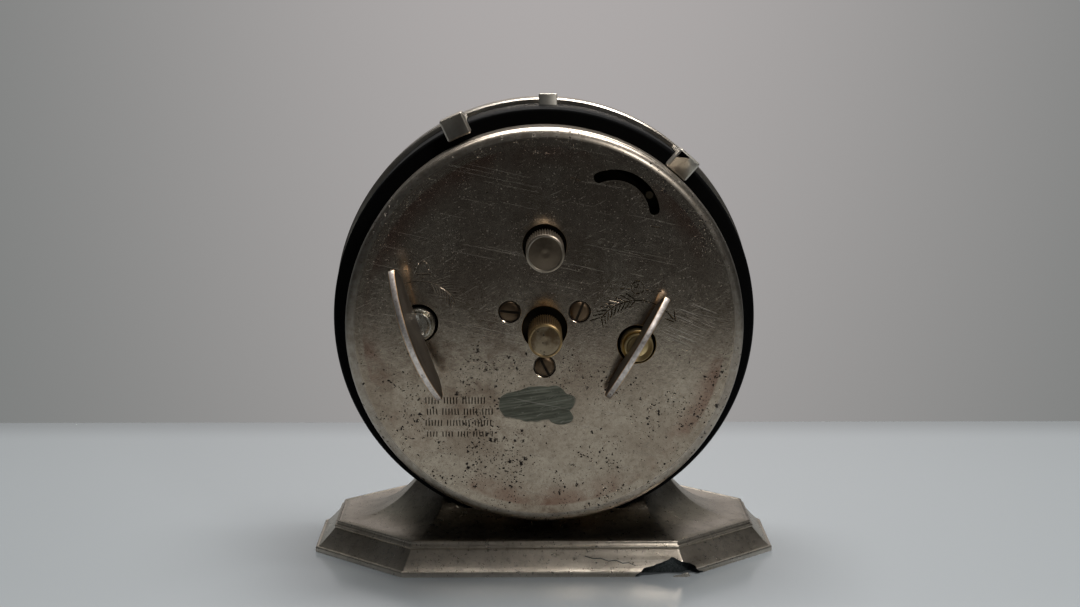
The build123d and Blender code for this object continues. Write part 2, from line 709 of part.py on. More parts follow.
DRUM_PARTS = {
    "case_shell": case_shell,
    "case_pillars": case_pillars,
    "case_screws": case_screws,
    "bezel": bezel,
    "crystal": crystal,
    "reflector_ring": reflector_ring,
    "dial": dial,
    "bell_cover": bell_cover,
    "bell_posts": bell_posts,
    "bell_screws": bell_screws,
    "marker_clip_left": lambda: marker_clip("left"),
    "marker_clip_right": lambda: marker_clip("right"),
    "back_plate": back_plate,
    "front_plate": front_plate,
    "plate_pillars": plate_pillars,
    "pillar_nuts": pillar_nuts,
    "hairspring_stud": hairspring_stud,
    "time_key": time_key,
    "time_arbor": time_arbor,
    "time_mainspring": time_mainspring,
    "time_great_wheel": time_great_wheel,
    "time_click": lambda: click(TIME_KEY, 4.6, 40, 18.0, 18.9, 19.5),
    "centre_wheel": centre_wheel,
    "third_wheel": third_wheel,
    "fourth_wheel": fourth_wheel,
    "escape_wheel": escape_wheel,
    "pallet_lever": pallet_lever,
    "balance_wheel": balance_wheel,
    "hairspring": hairspring,
    "regulator": regulator,
    "hand_set_knob": hand_set_knob,
    "centre_arbor": centre_arbor,
    "cannon_pinion": cannon_pinion,
    "minute_stud": minute_stud,
    "minute_wheel": minute_wheel,
    "hour_wheel": hour_wheel,
    "alarm_wheel": alarm_wheel,
    "minute_hand": minute_hand,
    "hour_hand": hour_hand,
    "alarm_set_knob": alarm_set_knob,
    "alarm_set_arbor": alarm_set_arbor,
    "alarm_hand": alarm_hand,
    "alarm_key": alarm_key,
    "alarm_arbor": alarm_arbor,
    "alarm_mainspring": alarm_mainspring,
    "alarm_great_wheel": alarm_great_wheel,
    "alarm_click": lambda: click(ALARM_KEY, 4.6, 100, 16.2, 17.1, 17.8),
    "alarm_escape_wheel": alarm_escape_wheel,
    "alarm_hammer": alarm_hammer,
    "shutoff_screw": shutoff_screw,
    "shutoff_lever": shutoff_lever,
}


def write(name, shape, place):
    solids = shape if isinstance(shape, list) else [shape]
    placed = [place * solid for solid in solids]
    body = Compound(children=placed) if len(placed) > 1 else placed[0]
    export_step(body, f"parts/{name}.step")


os.makedirs("parts", exist_ok=True)
for part_name, make in WORLD_PARTS.items():
    write(part_name, make(), Location())
for part_name, make in DRUM_PARTS.items():
    write(part_name, make(), DRUM)
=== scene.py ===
import json
import math
import random

import bmesh
import bpy
from mathutils import Matrix, Vector


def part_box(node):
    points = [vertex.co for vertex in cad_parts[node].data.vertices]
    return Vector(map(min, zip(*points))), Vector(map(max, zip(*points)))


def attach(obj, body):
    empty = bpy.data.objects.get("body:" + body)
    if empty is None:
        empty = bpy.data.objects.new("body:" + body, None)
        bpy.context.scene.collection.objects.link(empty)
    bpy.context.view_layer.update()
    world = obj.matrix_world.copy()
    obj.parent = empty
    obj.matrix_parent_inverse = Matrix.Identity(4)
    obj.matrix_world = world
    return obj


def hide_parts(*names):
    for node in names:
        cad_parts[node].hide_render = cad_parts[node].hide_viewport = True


# A wind-up bell-back timer: bell cover, case, dial, keys, knobs and stand.
# Shapes are worked out in millimetres in the drum's own frame: x to the right as
# seen from the dial, y up, z the depth from the flat of the bell cover.
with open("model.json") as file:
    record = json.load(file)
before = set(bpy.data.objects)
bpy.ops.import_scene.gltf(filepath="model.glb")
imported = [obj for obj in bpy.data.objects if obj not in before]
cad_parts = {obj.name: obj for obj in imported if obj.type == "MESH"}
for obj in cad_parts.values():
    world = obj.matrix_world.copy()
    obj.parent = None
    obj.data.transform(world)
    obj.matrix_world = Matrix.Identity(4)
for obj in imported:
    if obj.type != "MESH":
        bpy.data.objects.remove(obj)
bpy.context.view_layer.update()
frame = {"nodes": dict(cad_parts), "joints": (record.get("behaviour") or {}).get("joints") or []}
MM = 0.001
JOINTS = {joint["name"]: joint for joint in frame["joints"]}


def node_box(node):
    """The lowest and highest corners of a CAD node, in millimetres."""
    low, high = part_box(node)
    return Vector(low) / MM, Vector(high) / MM


BELL_LOW, BELL_HIGH = node_box("bell_cover")
CASE_LOW, CASE_HIGH = node_box("case_shell")
BEZEL_LOW, BEZEL_HIGH = node_box("bezel")
BASE_LOW, BASE_HIGH = node_box("base_casting")
DIAL_R = node_box("dial")[1].x
AXIS_Z = (BELL_LOW.z + BELL_HIGH.z) / 2
BACK_Y = BELL_HIGH.y
BELL_R = (BELL_HIGH.x - BELL_LOW.x) / 2
BELL_DEPTH = BELL_HIGH.y - BELL_LOW.y
CASE_R = CASE_HIGH.x
CASE_BACK = BACK_Y - CASE_HIGH.y
CASE_FRONT = BACK_Y - CASE_LOW.y
BEZEL_R = BEZEL_HIGH.x
BEZEL_BACK = BACK_Y - BEZEL_HIGH.y
BEZEL_FRONT = BACK_Y - BEZEL_LOW.y

DRUM = Matrix(((1, 0, 0, 0), (0, 0, -1, BACK_Y), (0, 1, 0, AXIS_Z), (0, 0, 0, 1)))


def axis_of(joint):
    """Where a joint's axis crosses the drum's face: (x, y) in the drum frame."""
    x, _, z = JOINTS[joint]["pos_m"]
    return x / MM, z / MM - AXIS_Z


CENTRE = (0.0, 0.0)
ALARM_SET = axis_of("alarm_setting_turn")
TIME_KEY = axis_of("time_winding_turn")
ALARM_KEY = axis_of("alarm_winding_turn")
BALANCE = axis_of("rate_lever_turn")


# ---- mesh tools ----
def new_object(name, data):
    """An object that holds data, linked into the scene."""
    thing = bpy.data.objects.new(name, data)
    bpy.context.scene.collection.objects.link(thing)
    return thing


def finish_piece(bm, name, material, body, replaces=(), smooth=35.0, place=DRUM):
    """Turns a bmesh in millimetres into a piece that rides on a body."""
    bmesh.ops.recalc_face_normals(bm, faces=bm.faces)
    mesh = bpy.data.meshes.new(name)
    bm.to_mesh(mesh)
    bm.free()
    mesh.transform(Matrix.Scale(MM, 4) @ place)
    mesh.polygons.foreach_set("use_smooth", [True] * len(mesh.polygons))
    mesh.set_sharp_from_angle(angle=math.radians(smooth))
    across = place.to_3x3() @ Vector((0, 0, 1))
    for face in mesh.polygons:
        if abs(face.normal.dot(across)) > 0.99999:
            face.use_smooth = False
    mesh.materials.append(material)
    piece = new_object(name, mesh)
    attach(piece, body)
    if replaces:
        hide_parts(*replaces)
    return piece


def cut(bm, cutters, crossing=False):
    """bm with each cutter's volume taken away, by an exact boolean.
    crossing says that a cutter's own solids may run into each other."""
    def as_object(source, name):
        mesh = bpy.data.meshes.new(name)
        bmesh.ops.recalc_face_normals(source, faces=source.faces)
        source.to_mesh(mesh)
        source.free()
        return new_object(name, mesh)

    whole = as_object(bm, "boolean_body")
    knives = [as_object(cutter, "boolean_cutter") for cutter in cutters]
    for knife in knives:
        step = whole.modifiers.new("cut", "BOOLEAN")
        step.operation = "DIFFERENCE"
        step.solver = "EXACT"
        step.object = knife
        step.use_self = crossing
    graph = bpy.context.evaluated_depsgraph_get()
    result = bmesh.new()
    result.from_mesh(whole.evaluated_get(graph).to_mesh())
    for thing in [whole, *knives]:
        mesh = thing.data
        bpy.data.objects.remove(thing)
        bpy.data.meshes.remove(mesh)
    return result


def placed(at, degrees):
    """The turn about the z axis and the shift that put a shape at a place."""
    return Matrix.Translation((*at, 0)) @ Matrix.Rotation(math.radians(degrees), 4, "Z")


def polar(radius, degrees, at=CENTRE):
    turn = math.radians(degrees)
    return (at[0] + radius * math.cos(turn), at[1] + radius * math.sin(turn))


def arc(centre, radius, first, last, steps):
    """Points of an arc in a profile plane."""
    return [polar(radius, first + (last - first) * k / steps, centre) for k in range(steps + 1)]


def lathe(profile, segments=160, at=CENTRE, ripple=None):
    """A closed profile of (radius, depth) turned about the z axis through at."""
    bm = bmesh.new()
    rings = []
    for row, (radius, depth) in enumerate(profile):
        if radius < 1e-6:
            rings.append([bm.verts.new((at[0], at[1], depth))] * segments)
            continue
        ring = []
        for k in range(segments):
            reach = radius + (ripple(row, k) if ripple else 0.0)
            x, y = polar(reach, 360 * k / segments, at)
            ring.append(bm.verts.new((x, y, depth)))
        rings.append(ring)
    for low, high in zip(rings, rings[1:] + rings[:1]):
        for k in range(segments):
            n = (k + 1) % segments
            corners = []
            for vert in (low[k], low[n], high[n], high[k]):
                if vert not in corners:
                    corners.append(vert)
            if len(corners) > 2:
                bm.faces.new(corners)
    return bm


def bridge(bm, low, high):
    """Faces between two closed loops of vertices."""
    for k in range(len(low)):
        n = (k + 1) % len(low)
        bm.faces.new((low[k], low[n], high[n], high[k]))


def prism(points, start, end):
    """A straight-sided solid on a flat outline."""
    bm = bmesh.new()
    low = [bm.verts.new((x, y, start)) for x, y in points]
    high = [bm.verts.new((x, y, end)) for x, y in points]
    bm.faces.new(low)
    bm.faces.new(high[::-1])
    bridge(bm, low, high)
    bmesh.ops.recalc_face_normals(bm, faces=bm.faces)
    return bm


def bar(length, width, start, end):
    """A straight bar about the z axis."""
    x, y = length / 2, width / 2
    return prism([(-x, -y), (x, -y), (x, y), (-x, y)], start, end)


def bevel_sharp(bm, width):
    """Rounds every edge that turns by more than 30 degrees."""
    bmesh.ops.dissolve_limit(bm, angle_limit=math.radians(1), verts=bm.verts, edges=bm.edges)
    sharp = [edge for edge in bm.edges
             if len(edge.link_faces) == 2 and edge.calc_face_angle() > math.radians(30)]
    bmesh.ops.bevel(bm, geom=sharp, offset=width, segments=2, profile=0.5,
                    affect="EDGES", clamp_overlap=True)


def merged(*parts):
    """Several closed bmeshes as one."""
    whole = bmesh.new()
    for part in parts:
        mesh = bpy.data.meshes.new("part")
        part.to_mesh(mesh)
        part.free()
        whole.from_mesh(mesh)
        bpy.data.meshes.remove(mesh)
    return whole


def moved(bm, matrix):
    bmesh.ops.transform(bm, matrix=matrix, verts=bm.verts)
    return bm


def painted(bm):
    """bm with every face on the second of its piece's materials."""
    for face in bm.faces:
        face.material_index = 1
    return bm


# ---- material tools ----
class Surface:
    """One procedural material; coordinates are millimetres in the shared frame."""

    def __init__(self, name):
        self.material = bpy.data.materials.new(name)
        self.material.use_nodes = True
        self.nodes = self.material.node_tree.nodes
        self.links = self.material.node_tree.links
        self.shader = self.nodes["Principled BSDF"]
        coordinates = self.nodes.new("ShaderNodeTexCoord")
        self.mm = self.vector("MULTIPLY", coordinates.outputs["Object"], (1 / MM,) * 3)

    def put(self, socket, value):
        if isinstance(value, bpy.types.NodeSocket):
            self.links.new(value, socket)
        else:
            socket.default_value = value

    def set(self, **values):
        for name, value in values.items():
            if name.endswith("color") and isinstance(value, tuple):
                value = (*value, 1.0)
            socket = name.replace("_", " ").title().replace("Ior", "IOR")
            self.put(self.shader.inputs[socket], value)

    def node(self, kind, inputs, **settings):
        """A new node, with its settings made before its inputs are filled."""
        step = self.nodes.new("ShaderNode" + kind)
        for name, value in settings.items():
            setattr(step, name, value)
        for name, value in inputs.items():
            self.put(step.inputs[name], value)
        return step

    def vector(self, operation, a, b=(0.0, 0.0, 0.0)):
        step = self.node("VectorMath", {0: a, 1: b}, operation=operation)
        return step.outputs["Value" if operation == "LENGTH" else "Vector"]

    def math(self, operation, a, b=0.0):
        return self.node("Math", {0: a, 1: b}, operation=operation).outputs[0]

    def times(self, a, b):
        return self.math("MULTIPLY", a, b)

    def less(self, a, b):
        return self.math("SUBTRACT", a, b)

    def most(self, a, b):
        return self.math("MAXIMUM", a, b)

    def axis(self, index):
        return self.node("SeparateXYZ", {0: self.mm}).outputs[index]

    def spot(self, x, z, spread_x, spread_z, turn=0.0):
        """Distance from (x, z) in units of the two spreads, ignoring depth."""
        local = self.node("Mapping", {"Vector": self.mm, "Location": (x, 0, z),
                                      "Rotation": (0, math.radians(turn), 0),
                                      "Scale": (spread_x, 1e6, spread_z)}, vector_type="TEXTURE")
        return self.vector("LENGTH", local.outputs["Vector"])

    def stretched(self, scale, turn):
        """The coordinates turned by degrees about each axis, then scaled."""
        turned = self.node("Mapping", {"Vector": self.mm,
                                       "Rotation": [math.radians(a) for a in turn]})
        return self.vector("MULTIPLY", turned.outputs["Vector"], scale)

    def noise(self, scale, detail=4.0, rough=0.55, vector=None, distortion=0.0):
        return self.node("TexNoise", {"Vector": vector or self.mm, "Scale": scale,
                                      "Detail": detail, "Roughness": rough,
                                      "Distortion": distortion}).outputs["Fac"]

    def cells(self, scale):
        return self.node("TexVoronoi", {"Vector": self.mm, "Scale": scale}).outputs["Distance"]

    def ramp(self, value, low, high, start=0.0, end=1.0):
        """value from low..high to start..end, smoothly and clamped."""
        return self.node("MapRange", {"Value": value, "From Min": low, "From Max": high,
                                      "To Min": start, "To Max": end},
                         interpolation_type="SMOOTHSTEP").outputs["Result"]

    def blend(self, factor, a, b, kind="FLOAT"):
        """Numbers a to b by factor."""
        ends = [(*end, 1.0) if isinstance(end, tuple) else end for end in (a, b)]
        return self.node("Mix", {"Factor": factor, "A": ends[0], "B": ends[1]},
                         data_type=kind).outputs["Result"]

    def mix(self, factor, a, b):
        """Colours a to b by factor."""
        return self.blend(factor, a, b, "RGBA")

    def tint(self, colour, amount, strength, tone):
        """colour drawn to tone by strength times amount."""
        return self.mix(self.times(amount, strength), colour, tone)

    def bump(self, height, depth):
        """height from 0 to 1 stands depth millimetres proud."""
        return self.node("Bump", {"Strength": 1.0, "Distance": depth * MM,
                                  "Height": height}).outputs["Normal"]


GRAIN = 0.5
PIT_TONE = (0.018, 0.013, 0.010)


def metal(name, light, dark, rough, pits=0.0, bump=0.01, patina_scale=0.12):
    """Plated or bare metal with a cloudy patina, fine grain and, if asked for, pits."""
    s = Surface(name)
    clouds = s.ramp(s.noise(patina_scale, 5.0, 0.65), 0.35, 0.68)
    fine = s.noise(2.2, 3.0, 0.6)
    colour = s.mix(clouds, light, dark)
    worn = s.blend(s.times(fine, GRAIN), rough, rough + 0.22)
    height = fine
    metalness = 1.0
    if pits:
        specks = s.ramp(s.cells(0.9), 0.10 * pits, 0.30 * pits, 1.0, 0.0)
        clumps = s.ramp(s.noise(0.25, 3.0), 0.50, 0.62)
        stain = s.times(specks, clumps)
        colour = s.mix(stain, colour, (0.02, 0.016, 0.012))
        worn = s.blend(stain, worn, 0.75)
        metalness = s.ramp(stain, 0.0, 1.0, 1.0, 0.35)
        height = s.less(fine, stain)
    s.set(base_color=colour, roughness=worn, metallic=metalness, normal=s.bump(height, bump))
    return s.material


def bell_stains(s, colour, radius):
    """Mottling, speckle, brown stains and the rust near the rim."""
    mottle = s.ramp(s.noise(0.55, 5.0, 0.7), 0.42, 0.70)
    colour = s.tint(colour, mottle, 0.45, (0.25, 0.19, 0.14))
    speckle = s.ramp(s.noise(1.5, 5.0, 0.75), 0.48, 0.66)
    colour = s.tint(colour, speckle, 0.48, (0.22, 0.155, 0.11))
    stains = s.times(s.ramp(s.noise(0.11, 5.0, 0.7, distortion=0.4), 0.46, 0.64),
                     s.ramp(s.spot(16.0, AXIS_Z - 10.0, 30, 26), 1.1, 0.4))
    brown = s.times(s.ramp(s.noise(0.5, 5.0, 0.7), 0.42, 0.60),
                    s.ramp(s.spot(28.0, AXIS_Z - 8.5, 9, 6.5), 1.2, 0.3))
    bottom = s.times(s.ramp(s.noise(0.4, 5.0, 0.7), 0.44, 0.60),
                     s.ramp(s.spot(0.5, AXIS_Z - 44.0, 7, 3), 1.2, 0.4))
    stains = s.most(stains, s.most(brown, bottom))
    colour = s.tint(colour, stains, 0.55, (0.18, 0.115, 0.075))
    rusty = s.times(s.ramp(radius, 37.5, 42.5), s.ramp(s.noise(0.07, 5.0, 0.6), 0.40, 0.60))
    rusty = s.times(rusty, s.ramp(radius, 43.9, 43.3))
    return s.tint(colour, rusty, 0.6, (0.24, 0.12, 0.08))


# (x, height above the axis, half width, half height, turn) of the thickest pits
PIT_CROWDS = ((6.5, -31.5, 2.6, 10.0, 8), (16.5, -36.5, 3.4, 2.4, 20), (-11.5, -9.5, 4.0, 3.5, 0),
              (30.5, -5.0, 6.0, 5.0, 0), (16.0, -7.0, 5.5, 5.0, 0), (23.0, 17.0, 4.5, 4.0, 0))


def bell_pits(s, radius, z):
    """Pits in three sizes, gathered below the middle and at the upper rim."""
    low = s.ramp(z, 6.0, -14.0)
    rim = s.ramp(s.spot(17.5, AXIS_Z + 36.5, 9, 8), 1.3, 0.4)
    crest = s.times(s.ramp(radius, 41.2, 42.6), s.ramp(z, 4.0, 20.0, 0.0, 0.9))
    crowd = s.most(s.most(low, rim), crest)
    for x, height, wide, high, turn in PIT_CROWDS:
        cluster = s.ramp(s.spot(x, AXIS_Z + height, wide, high, turn), 1.2, 0.3, 0.0, 0.8)
        crowd = s.math("ADD", crowd, cluster)
    patches = s.ramp(s.noise(0.13, 4.0, 0.6), 0.44, 0.60)
    field = s.times(crowd, s.blend(patches, 0.30, 1.0))
    ragged = s.times(s.less(s.noise(1.7, 3.0, 0.7), 0.5), 0.9)
    pits = None
    for scale, size in ((0.33, 0.12), (0.8, 0.15), (1.7, 0.17)):
        dots = s.math("ADD", s.cells(scale), ragged)
        reach = s.times(s.ramp(field, 0.15, 1.0), size)
        dots = s.ramp(s.less(dots, reach), 0.04, 0.0)
        pits = dots if pits is None else s.most(pits, dots)
    return s.times(pits, s.ramp(field, 0.10, 0.35))


def bell_hairlines(s):
    """Scratches in three directions, and a fan of them beside the time key."""
    hair = None
    for turn, seed in ((12, 0.0), (-24, 31.0), (68, 57.0)):
        lines = s.noise(1.0, 2.0, 0.5, vector=s.stretched((0.035, 1.0, 3.2), (seed, turn, 0)))
        lines = s.ramp(lines, 0.690, 0.715)
        hair = lines if hair is None else s.most(hair, lines)
    fan = s.noise(1.0, 2.0, 0.5, vector=s.stretched((0.07, 1.0, 3.0), (0, 22, 0)))
    fan = s.times(s.ramp(fan, 0.58, 0.64),
                  s.ramp(s.spot(-35.0, AXIS_Z + 1.0, 7.0, 5.0, 22), 1.1, 0.7))
    return s.most(s.times(hair, 0.5), fan)


def bell_nickel():
    """The bell cover: tarnished nickel with pits, hairlines, a ground patch and rust."""
    s = Surface("aged_nickel")
    z = s.less(s.axis(2), AXIS_Z)
    radius = s.spot(0, AXIS_Z, 1, 1)
    clouds = s.ramp(s.noise(0.045, 6.0, 0.7), 0.36, 0.66)
    colour = s.mix(clouds, (0.55, 0.465, 0.36), (0.38, 0.305, 0.23))
    colour = bell_stains(s, colour, radius)
    pits = bell_pits(s, radius, z)
    # pale specks of corrosion on the upper half
    specks = s.times(s.ramp(s.noise(2.0, 3.0, 0.6), 0.62, 0.72), s.ramp(z, -6.0, 14.0))
    specks = s.times(specks, s.ramp(s.noise(0.12, 3.0, 0.6), 0.35, 0.65, 0.15, 0.8))
    colour = s.tint(colour, specks, 0.4, (0.60, 0.57, 0.52))
    # the patch where the plating was ground away
    wobble = s.times(s.noise(0.24, 1.5, 0.5), 0.60)
    ground = s.math("ADD", s.spot(1.9, AXIS_Z - 18.3, 9.8, 4.4, 4), wobble)
    lobe = s.math("ADD", s.spot(-4.0, AXIS_Z - 21.6, 3.0, 2.2), wobble)
    ground = s.ramp(s.math("MINIMUM", ground, lobe), 1.30, 1.22)
    strokes = s.noise(1.0, 4.0, 0.6, vector=s.stretched((0.12, 1.0, 2.4), (0, -8, 0)))
    grey = s.mix(s.ramp(strokes, 0.35, 0.7), (0.105, 0.105, 0.08), (0.26, 0.255, 0.20))
    colour = s.mix(ground, colour, grey)
    pits = s.times(pits, s.less(1.0, s.times(ground, 0.8)))
    colour = s.mix(pits, colour, PIT_TONE)
    hair = bell_hairlines(s)
    colour = s.tint(colour, hair, 0.5, (0.66, 0.60, 0.52))
    # tarnish lies in everything cut below the face
    sunk = s.times(s.ramp(s.less(BACK_Y, s.axis(1)), 0.015, 0.06), s.ramp(radius, 42.6, 42.2))
    colour = s.tint(colour, sunk, 0.8, (0.035, 0.026, 0.018))
    # the worn shoulder
    shoulder = s.ramp(radius, BELL_R - 2.7, BELL_R - 2.0)
    pale = s.ramp(s.noise(0.5, 4.0, 0.7), 0.3, 0.7)
    pale = s.mix(pale, (0.22, 0.195, 0.165), (0.42, 0.385, 0.335))
    colour = s.tint(colour, shoulder, 0.6, pale)
    colour = s.mix(pits, colour, PIT_TONE)
    rough = s.blend(s.noise(0.8, 4.0, 0.7), 0.11, 0.23)
    for amount, value in ((s.times(shoulder, 0.8), 0.34), (ground, 0.40), (pits, 0.85),
                          (s.times(specks, 0.8), 0.7)):
        rough = s.blend(amount, rough, value)
    height = s.less(s.times(s.noise(1.4, 4.0, 0.6), 0.25), pits)
    height = s.less(height, s.times(hair, 0.2))
    height = s.less(height, s.times(ground, s.times(strokes, 0.5)))
    s.set(base_color=colour, roughness=rough, normal=s.bump(height, 0.035),
          metallic=s.blend(s.most(pits, s.times(specks, 0.5)), 1.0, 0.25))
    return s.material


def cast_metal():
    """The stand: satin nickel over pot metal, darker in clouds of grime, with a painted highlight
    that lightens its ridges.
    """
    s = Surface("cast_pot_metal")
    clouds = s.ramp(s.noise(0.07, 5.0, 0.65), 0.35, 0.68)
    colour = s.mix(clouds, (0.60, 0.53, 0.44), (0.40, 0.345, 0.275))
    grime = s.ramp(s.noise(0.5, 6.0, 0.75), 0.50, 0.72)
    colour = s.tint(colour, grime, 0.55, (0.12, 0.095, 0.07))
    # painted highlight: the colour is lightened where the surface is sharply convex, along the
    # beads and ridges
    edge = s.nodes.new("ShaderNodeNewGeometry").outputs["Pointiness"]
    worn = s.ramp(edge, 0.53, 0.60)
    colour = s.tint(colour, worn, 0.6, (0.72, 0.67, 0.60))
    specks = s.ramp(s.noise(1.9, 3.0, 0.6), 0.66, 0.71)
    colour = s.mix(specks, colour, (0.03, 0.024, 0.018))
    rough = s.blend(s.noise(0.6, 5.0, 0.7), 0.22, 0.36)
    rough = s.blend(specks, rough, 0.85)
    height = s.less(s.noise(1.1, 6.0, 0.65), specks)
    s.set(base_color=colour, roughness=rough, metallic=s.blend(specks, 1.0, 0.3),
          normal=s.bump(height, 0.05))
    return s.material


def fracture():
    """The grey crystalline break in the stand's corner."""
    s = Surface("broken_zinc")
    grain = s.noise(2.6, 6.0, 0.75)
    colour = s.mix(s.ramp(grain, 0.3, 0.7), (0.035, 0.045, 0.048), (0.13, 0.145, 0.145))
    s.set(base_color=colour, roughness=0.8, metallic=0.35, normal=s.bump(grain, 0.25))
    return s.material


def enamel():
    """The case's worn black enamel, a little dusty."""
    s = Surface("black_enamel")
    dust = s.ramp(s.noise(1.6, 5.0, 0.7), 0.58, 0.78)
    colour = s.mix(s.times(dust, 0.2), (0.003, 0.003, 0.003), (0.03, 0.027, 0.024))
    s.set(base_color=colour, roughness=s.blend(s.noise(0.7, 4.0), 0.34, 0.50),
          specular_IOR_level=0.03, normal=s.bump(s.noise(3.0, 3.0), 0.006))
    return s.material


def printed(name, colour, aged, rough=0.45):
    """Paint or ink with yellowed patches."""
    s = Surface(name)
    age = s.ramp(s.noise(0.08, 6.0, 0.7), 0.45, 0.75)
    tone = s.tint(colour, age, 0.5, aged)
    s.set(base_color=tone, roughness=s.blend(s.noise(1.5, 3.0), rough, rough + 0.15),
          normal=s.bump(s.noise(4.0, 3.0), 0.003))
    return s.material


def clear_glass():
    s = Surface("clear_glass")
    smear = s.ramp(s.noise(0.05, 4.0), 0.5, 0.8, 0.0, 0.05)
    s.set(base_color=(0.97, 0.99, 0.98), roughness=s.math("ADD", smear, 0.01),
          transmission_weight=1.0, IOR=1.2)
    return s.material


# ---- the bell cover ----
WALL = 0.9
SHOULDER = 1.9
SEGMENTS = 240
KEY_HOLE_R = 4.6
CENTRE_HOLE_R = 5.35
ALARM_SET_HOLE_R = 5.2
SCREW_CIRCLE_R = 9.3
SCREW_ANGLES = (26.0, 154.0, 270.0)
SCREW_SLOT_TURNS = (6, 112, 62)
SCREW_SLOT_FLOOR = -0.02
SLOT_R = 9.7
SLOT_HALF = 1.25
SLOT_ENDS = (68.0, 172.0)


def hole(radius, at):
    """A cutter for a round hole whose mouth is worn round."""
    flare = 0.18
    return lathe([(0, -1), (radius + flare, -1), (radius + flare, -0.01),
                  (radius + flare * 0.35, 0.05), (radius, 0.2), (radius, 2), (0, 2)], 72, at)


def slot_cutter():
    """The rate slot: an arc about the balance, with round ends."""
    first, last = SLOT_ENDS
    steps = 26
    outline = arc(BALANCE, SLOT_R + SLOT_HALF, first, last, steps)
    outline += arc(polar(SLOT_R, last, BALANCE), SLOT_HALF, last + 15, last + 165, 10)
    outline += arc(BALANCE, SLOT_R - SLOT_HALF, last, first, steps)
    outline += arc(polar(SLOT_R, first, BALANCE), SLOT_HALF, first + 195, first + 345, 10)
    return prism(outline, -1, 2)


def stroke(a, b, width=0.34, depth=0.13):
    """A V-shaped graver's cut from a to b."""
    bm = bmesh.new()
    along = Vector((b[0] - a[0], b[1] - a[1])).normalized()
    side = Vector((-along.y, along.x)) * width * 0.7
    start, end = Vector(a), Vector(b)
    tips = [start - along * width * 0.4, start + side, end + side, end + along * width * 0.4,
            end - side, start - side]
    top = [bm.verts.new((p.x, p.y, -0.05)) for p in tips]
    keel = [bm.verts.new((p.x, p.y, depth)) for p in (start + along * 0.05, end - along * 0.05)]
    bm.faces.new(top)
    for low, high, tip in ((0, 1, 0), (5, 0, 0), (2, 3, 1), (3, 4, 1)):
        bm.faces.new((top[low], top[high], keel[tip]))
    bm.faces.new((top[1], top[2], keel[1], keel[0]))
    bm.faces.new((top[4], top[5], keel[0], keel[1]))
    return bm


def feathered_arrow(at, radius, first, last, depth):
    """A curved arrow round a key: barbs along its tail and an open head."""
    strokes = []
    steps = 9
    sweep = (last - first) / steps
    for k in range(steps):
        a = polar(radius, first + sweep * (k + 0.06), at)
        b = polar(radius, first + sweep * (k + 0.94), at)
        strokes.append(stroke(a, b, 0.3, depth))
    for k in range(9):
        angle = first + sweep * k * 0.52
        lead = -9 if sweep < 0 else 9
        for reach in (1.9, -1.7):
            a = polar(radius + 0.32 * math.copysign(1, reach), angle, at)
            b = polar(radius + reach, angle - lead, at)
            strokes.append(stroke(a, b, 0.26, depth))
    tip = polar(radius, last + sweep * 0.35, at)
    for reach in (1.5, -1.5):
        base = polar(radius + reach, last - sweep * 0.75, at)
        near = (tip[0] + (base[0] - tip[0]) * 0.15, tip[1] + (base[1] - tip[1]) * 0.15)
        strokes.append(stroke(near, base, 0.32, depth))
    return strokes


def chain(points, width, depth, closed=False):
    """Strokes from point to point with a hair's gap between them."""
    ends = points[1:] + points[:1] if closed else points[1:]
    strokes = []
    for a, b in zip(points, ends):
        gap = 0.16 / max(math.dist(a, b), 0.5)
        strokes.append(stroke((a[0] + (b[0] - a[0]) * gap, a[1] + (b[1] - a[1]) * gap),
                              (b[0] + (a[0] - b[0]) * gap, b[1] + (a[1] - b[1]) * gap),
                              width, depth))
    return strokes


def bell_sign(x, y, size, depth):
    """A plain bell outline."""
    dome = [(x + size * px, y + size * py) for px, py in
            ((-0.62, -0.42), (-0.42, -0.12), (-0.36, 0.28), (0.0, 0.56), (0.36, 0.28),
             (0.42, -0.12), (0.62, -0.42))]
    clapper = [(x - size * 0.14, y - size * 0.66), (x + size * 0.14, y - size * 0.66)]
    return chain(dome, 0.3, depth, closed=True) + chain(clapper, 0.3, depth)


def clock_sign(x, y, size, depth):
    """A plain clock face."""
    rim = [polar(size * 0.6, 22.5 + a, (x, y)) for a in range(0, 360, 45)]
    hands = [stroke((x, y + 0.1), (x, y + size * 0.36), 0.26, depth),
             stroke((x + 0.22, y), (x + size * 0.34, y), 0.26, depth)]
    return chain(rim, 0.3, depth, closed=True) + hands


def rate_marks():
    """Plus and minus at the ends of the rate slot, and the divisions between them."""
    strokes = []
    plus, minus = polar(12.6, 43, BALANCE), polar(10.2, 196, BALANCE)
    for angle in (0, 90, 180, 270):
        strokes.append(stroke(polar(0.22, angle + 20, plus), polar(1.15, angle + 20, plus)))
    strokes.append(stroke(polar(1.1, 10, minus), polar(1.1, 190, minus)))
    for k in range(15):
        angle = 76 + k * 6.4
        inner = 6.9 if k % 7 == 0 else 7.45
        strokes.append(stroke(polar(inner, angle, BALANCE), polar(8.1, angle, BALANCE), 0.2, 0.09))
    return strokes


def stamped_rows():
    """Four rows of upright stamped strokes in word-like groups: no letters."""
    rng = random.Random(20)
    strokes = []
    for row in range(4):
        height = 1.55 - 0.12 * row
        y = -17.6 - row * 2.75
        x = 28.6 - 0.35 * (row % 2)
        end = 12.6 + 0.6 * rng.random() - (0.5 if row else 0)
        while x > end:
            for _ in range(rng.randint(4, 8)):
                if x <= end:
                    break
                lean = 0.12 * (rng.random() - 0.5)
                strokes.append(stroke((x + lean, y - height / 2), (x - lean, y + height / 2),
                                      0.34, 0.14))
                x -= 0.74
            x -= 0.75
    return strokes


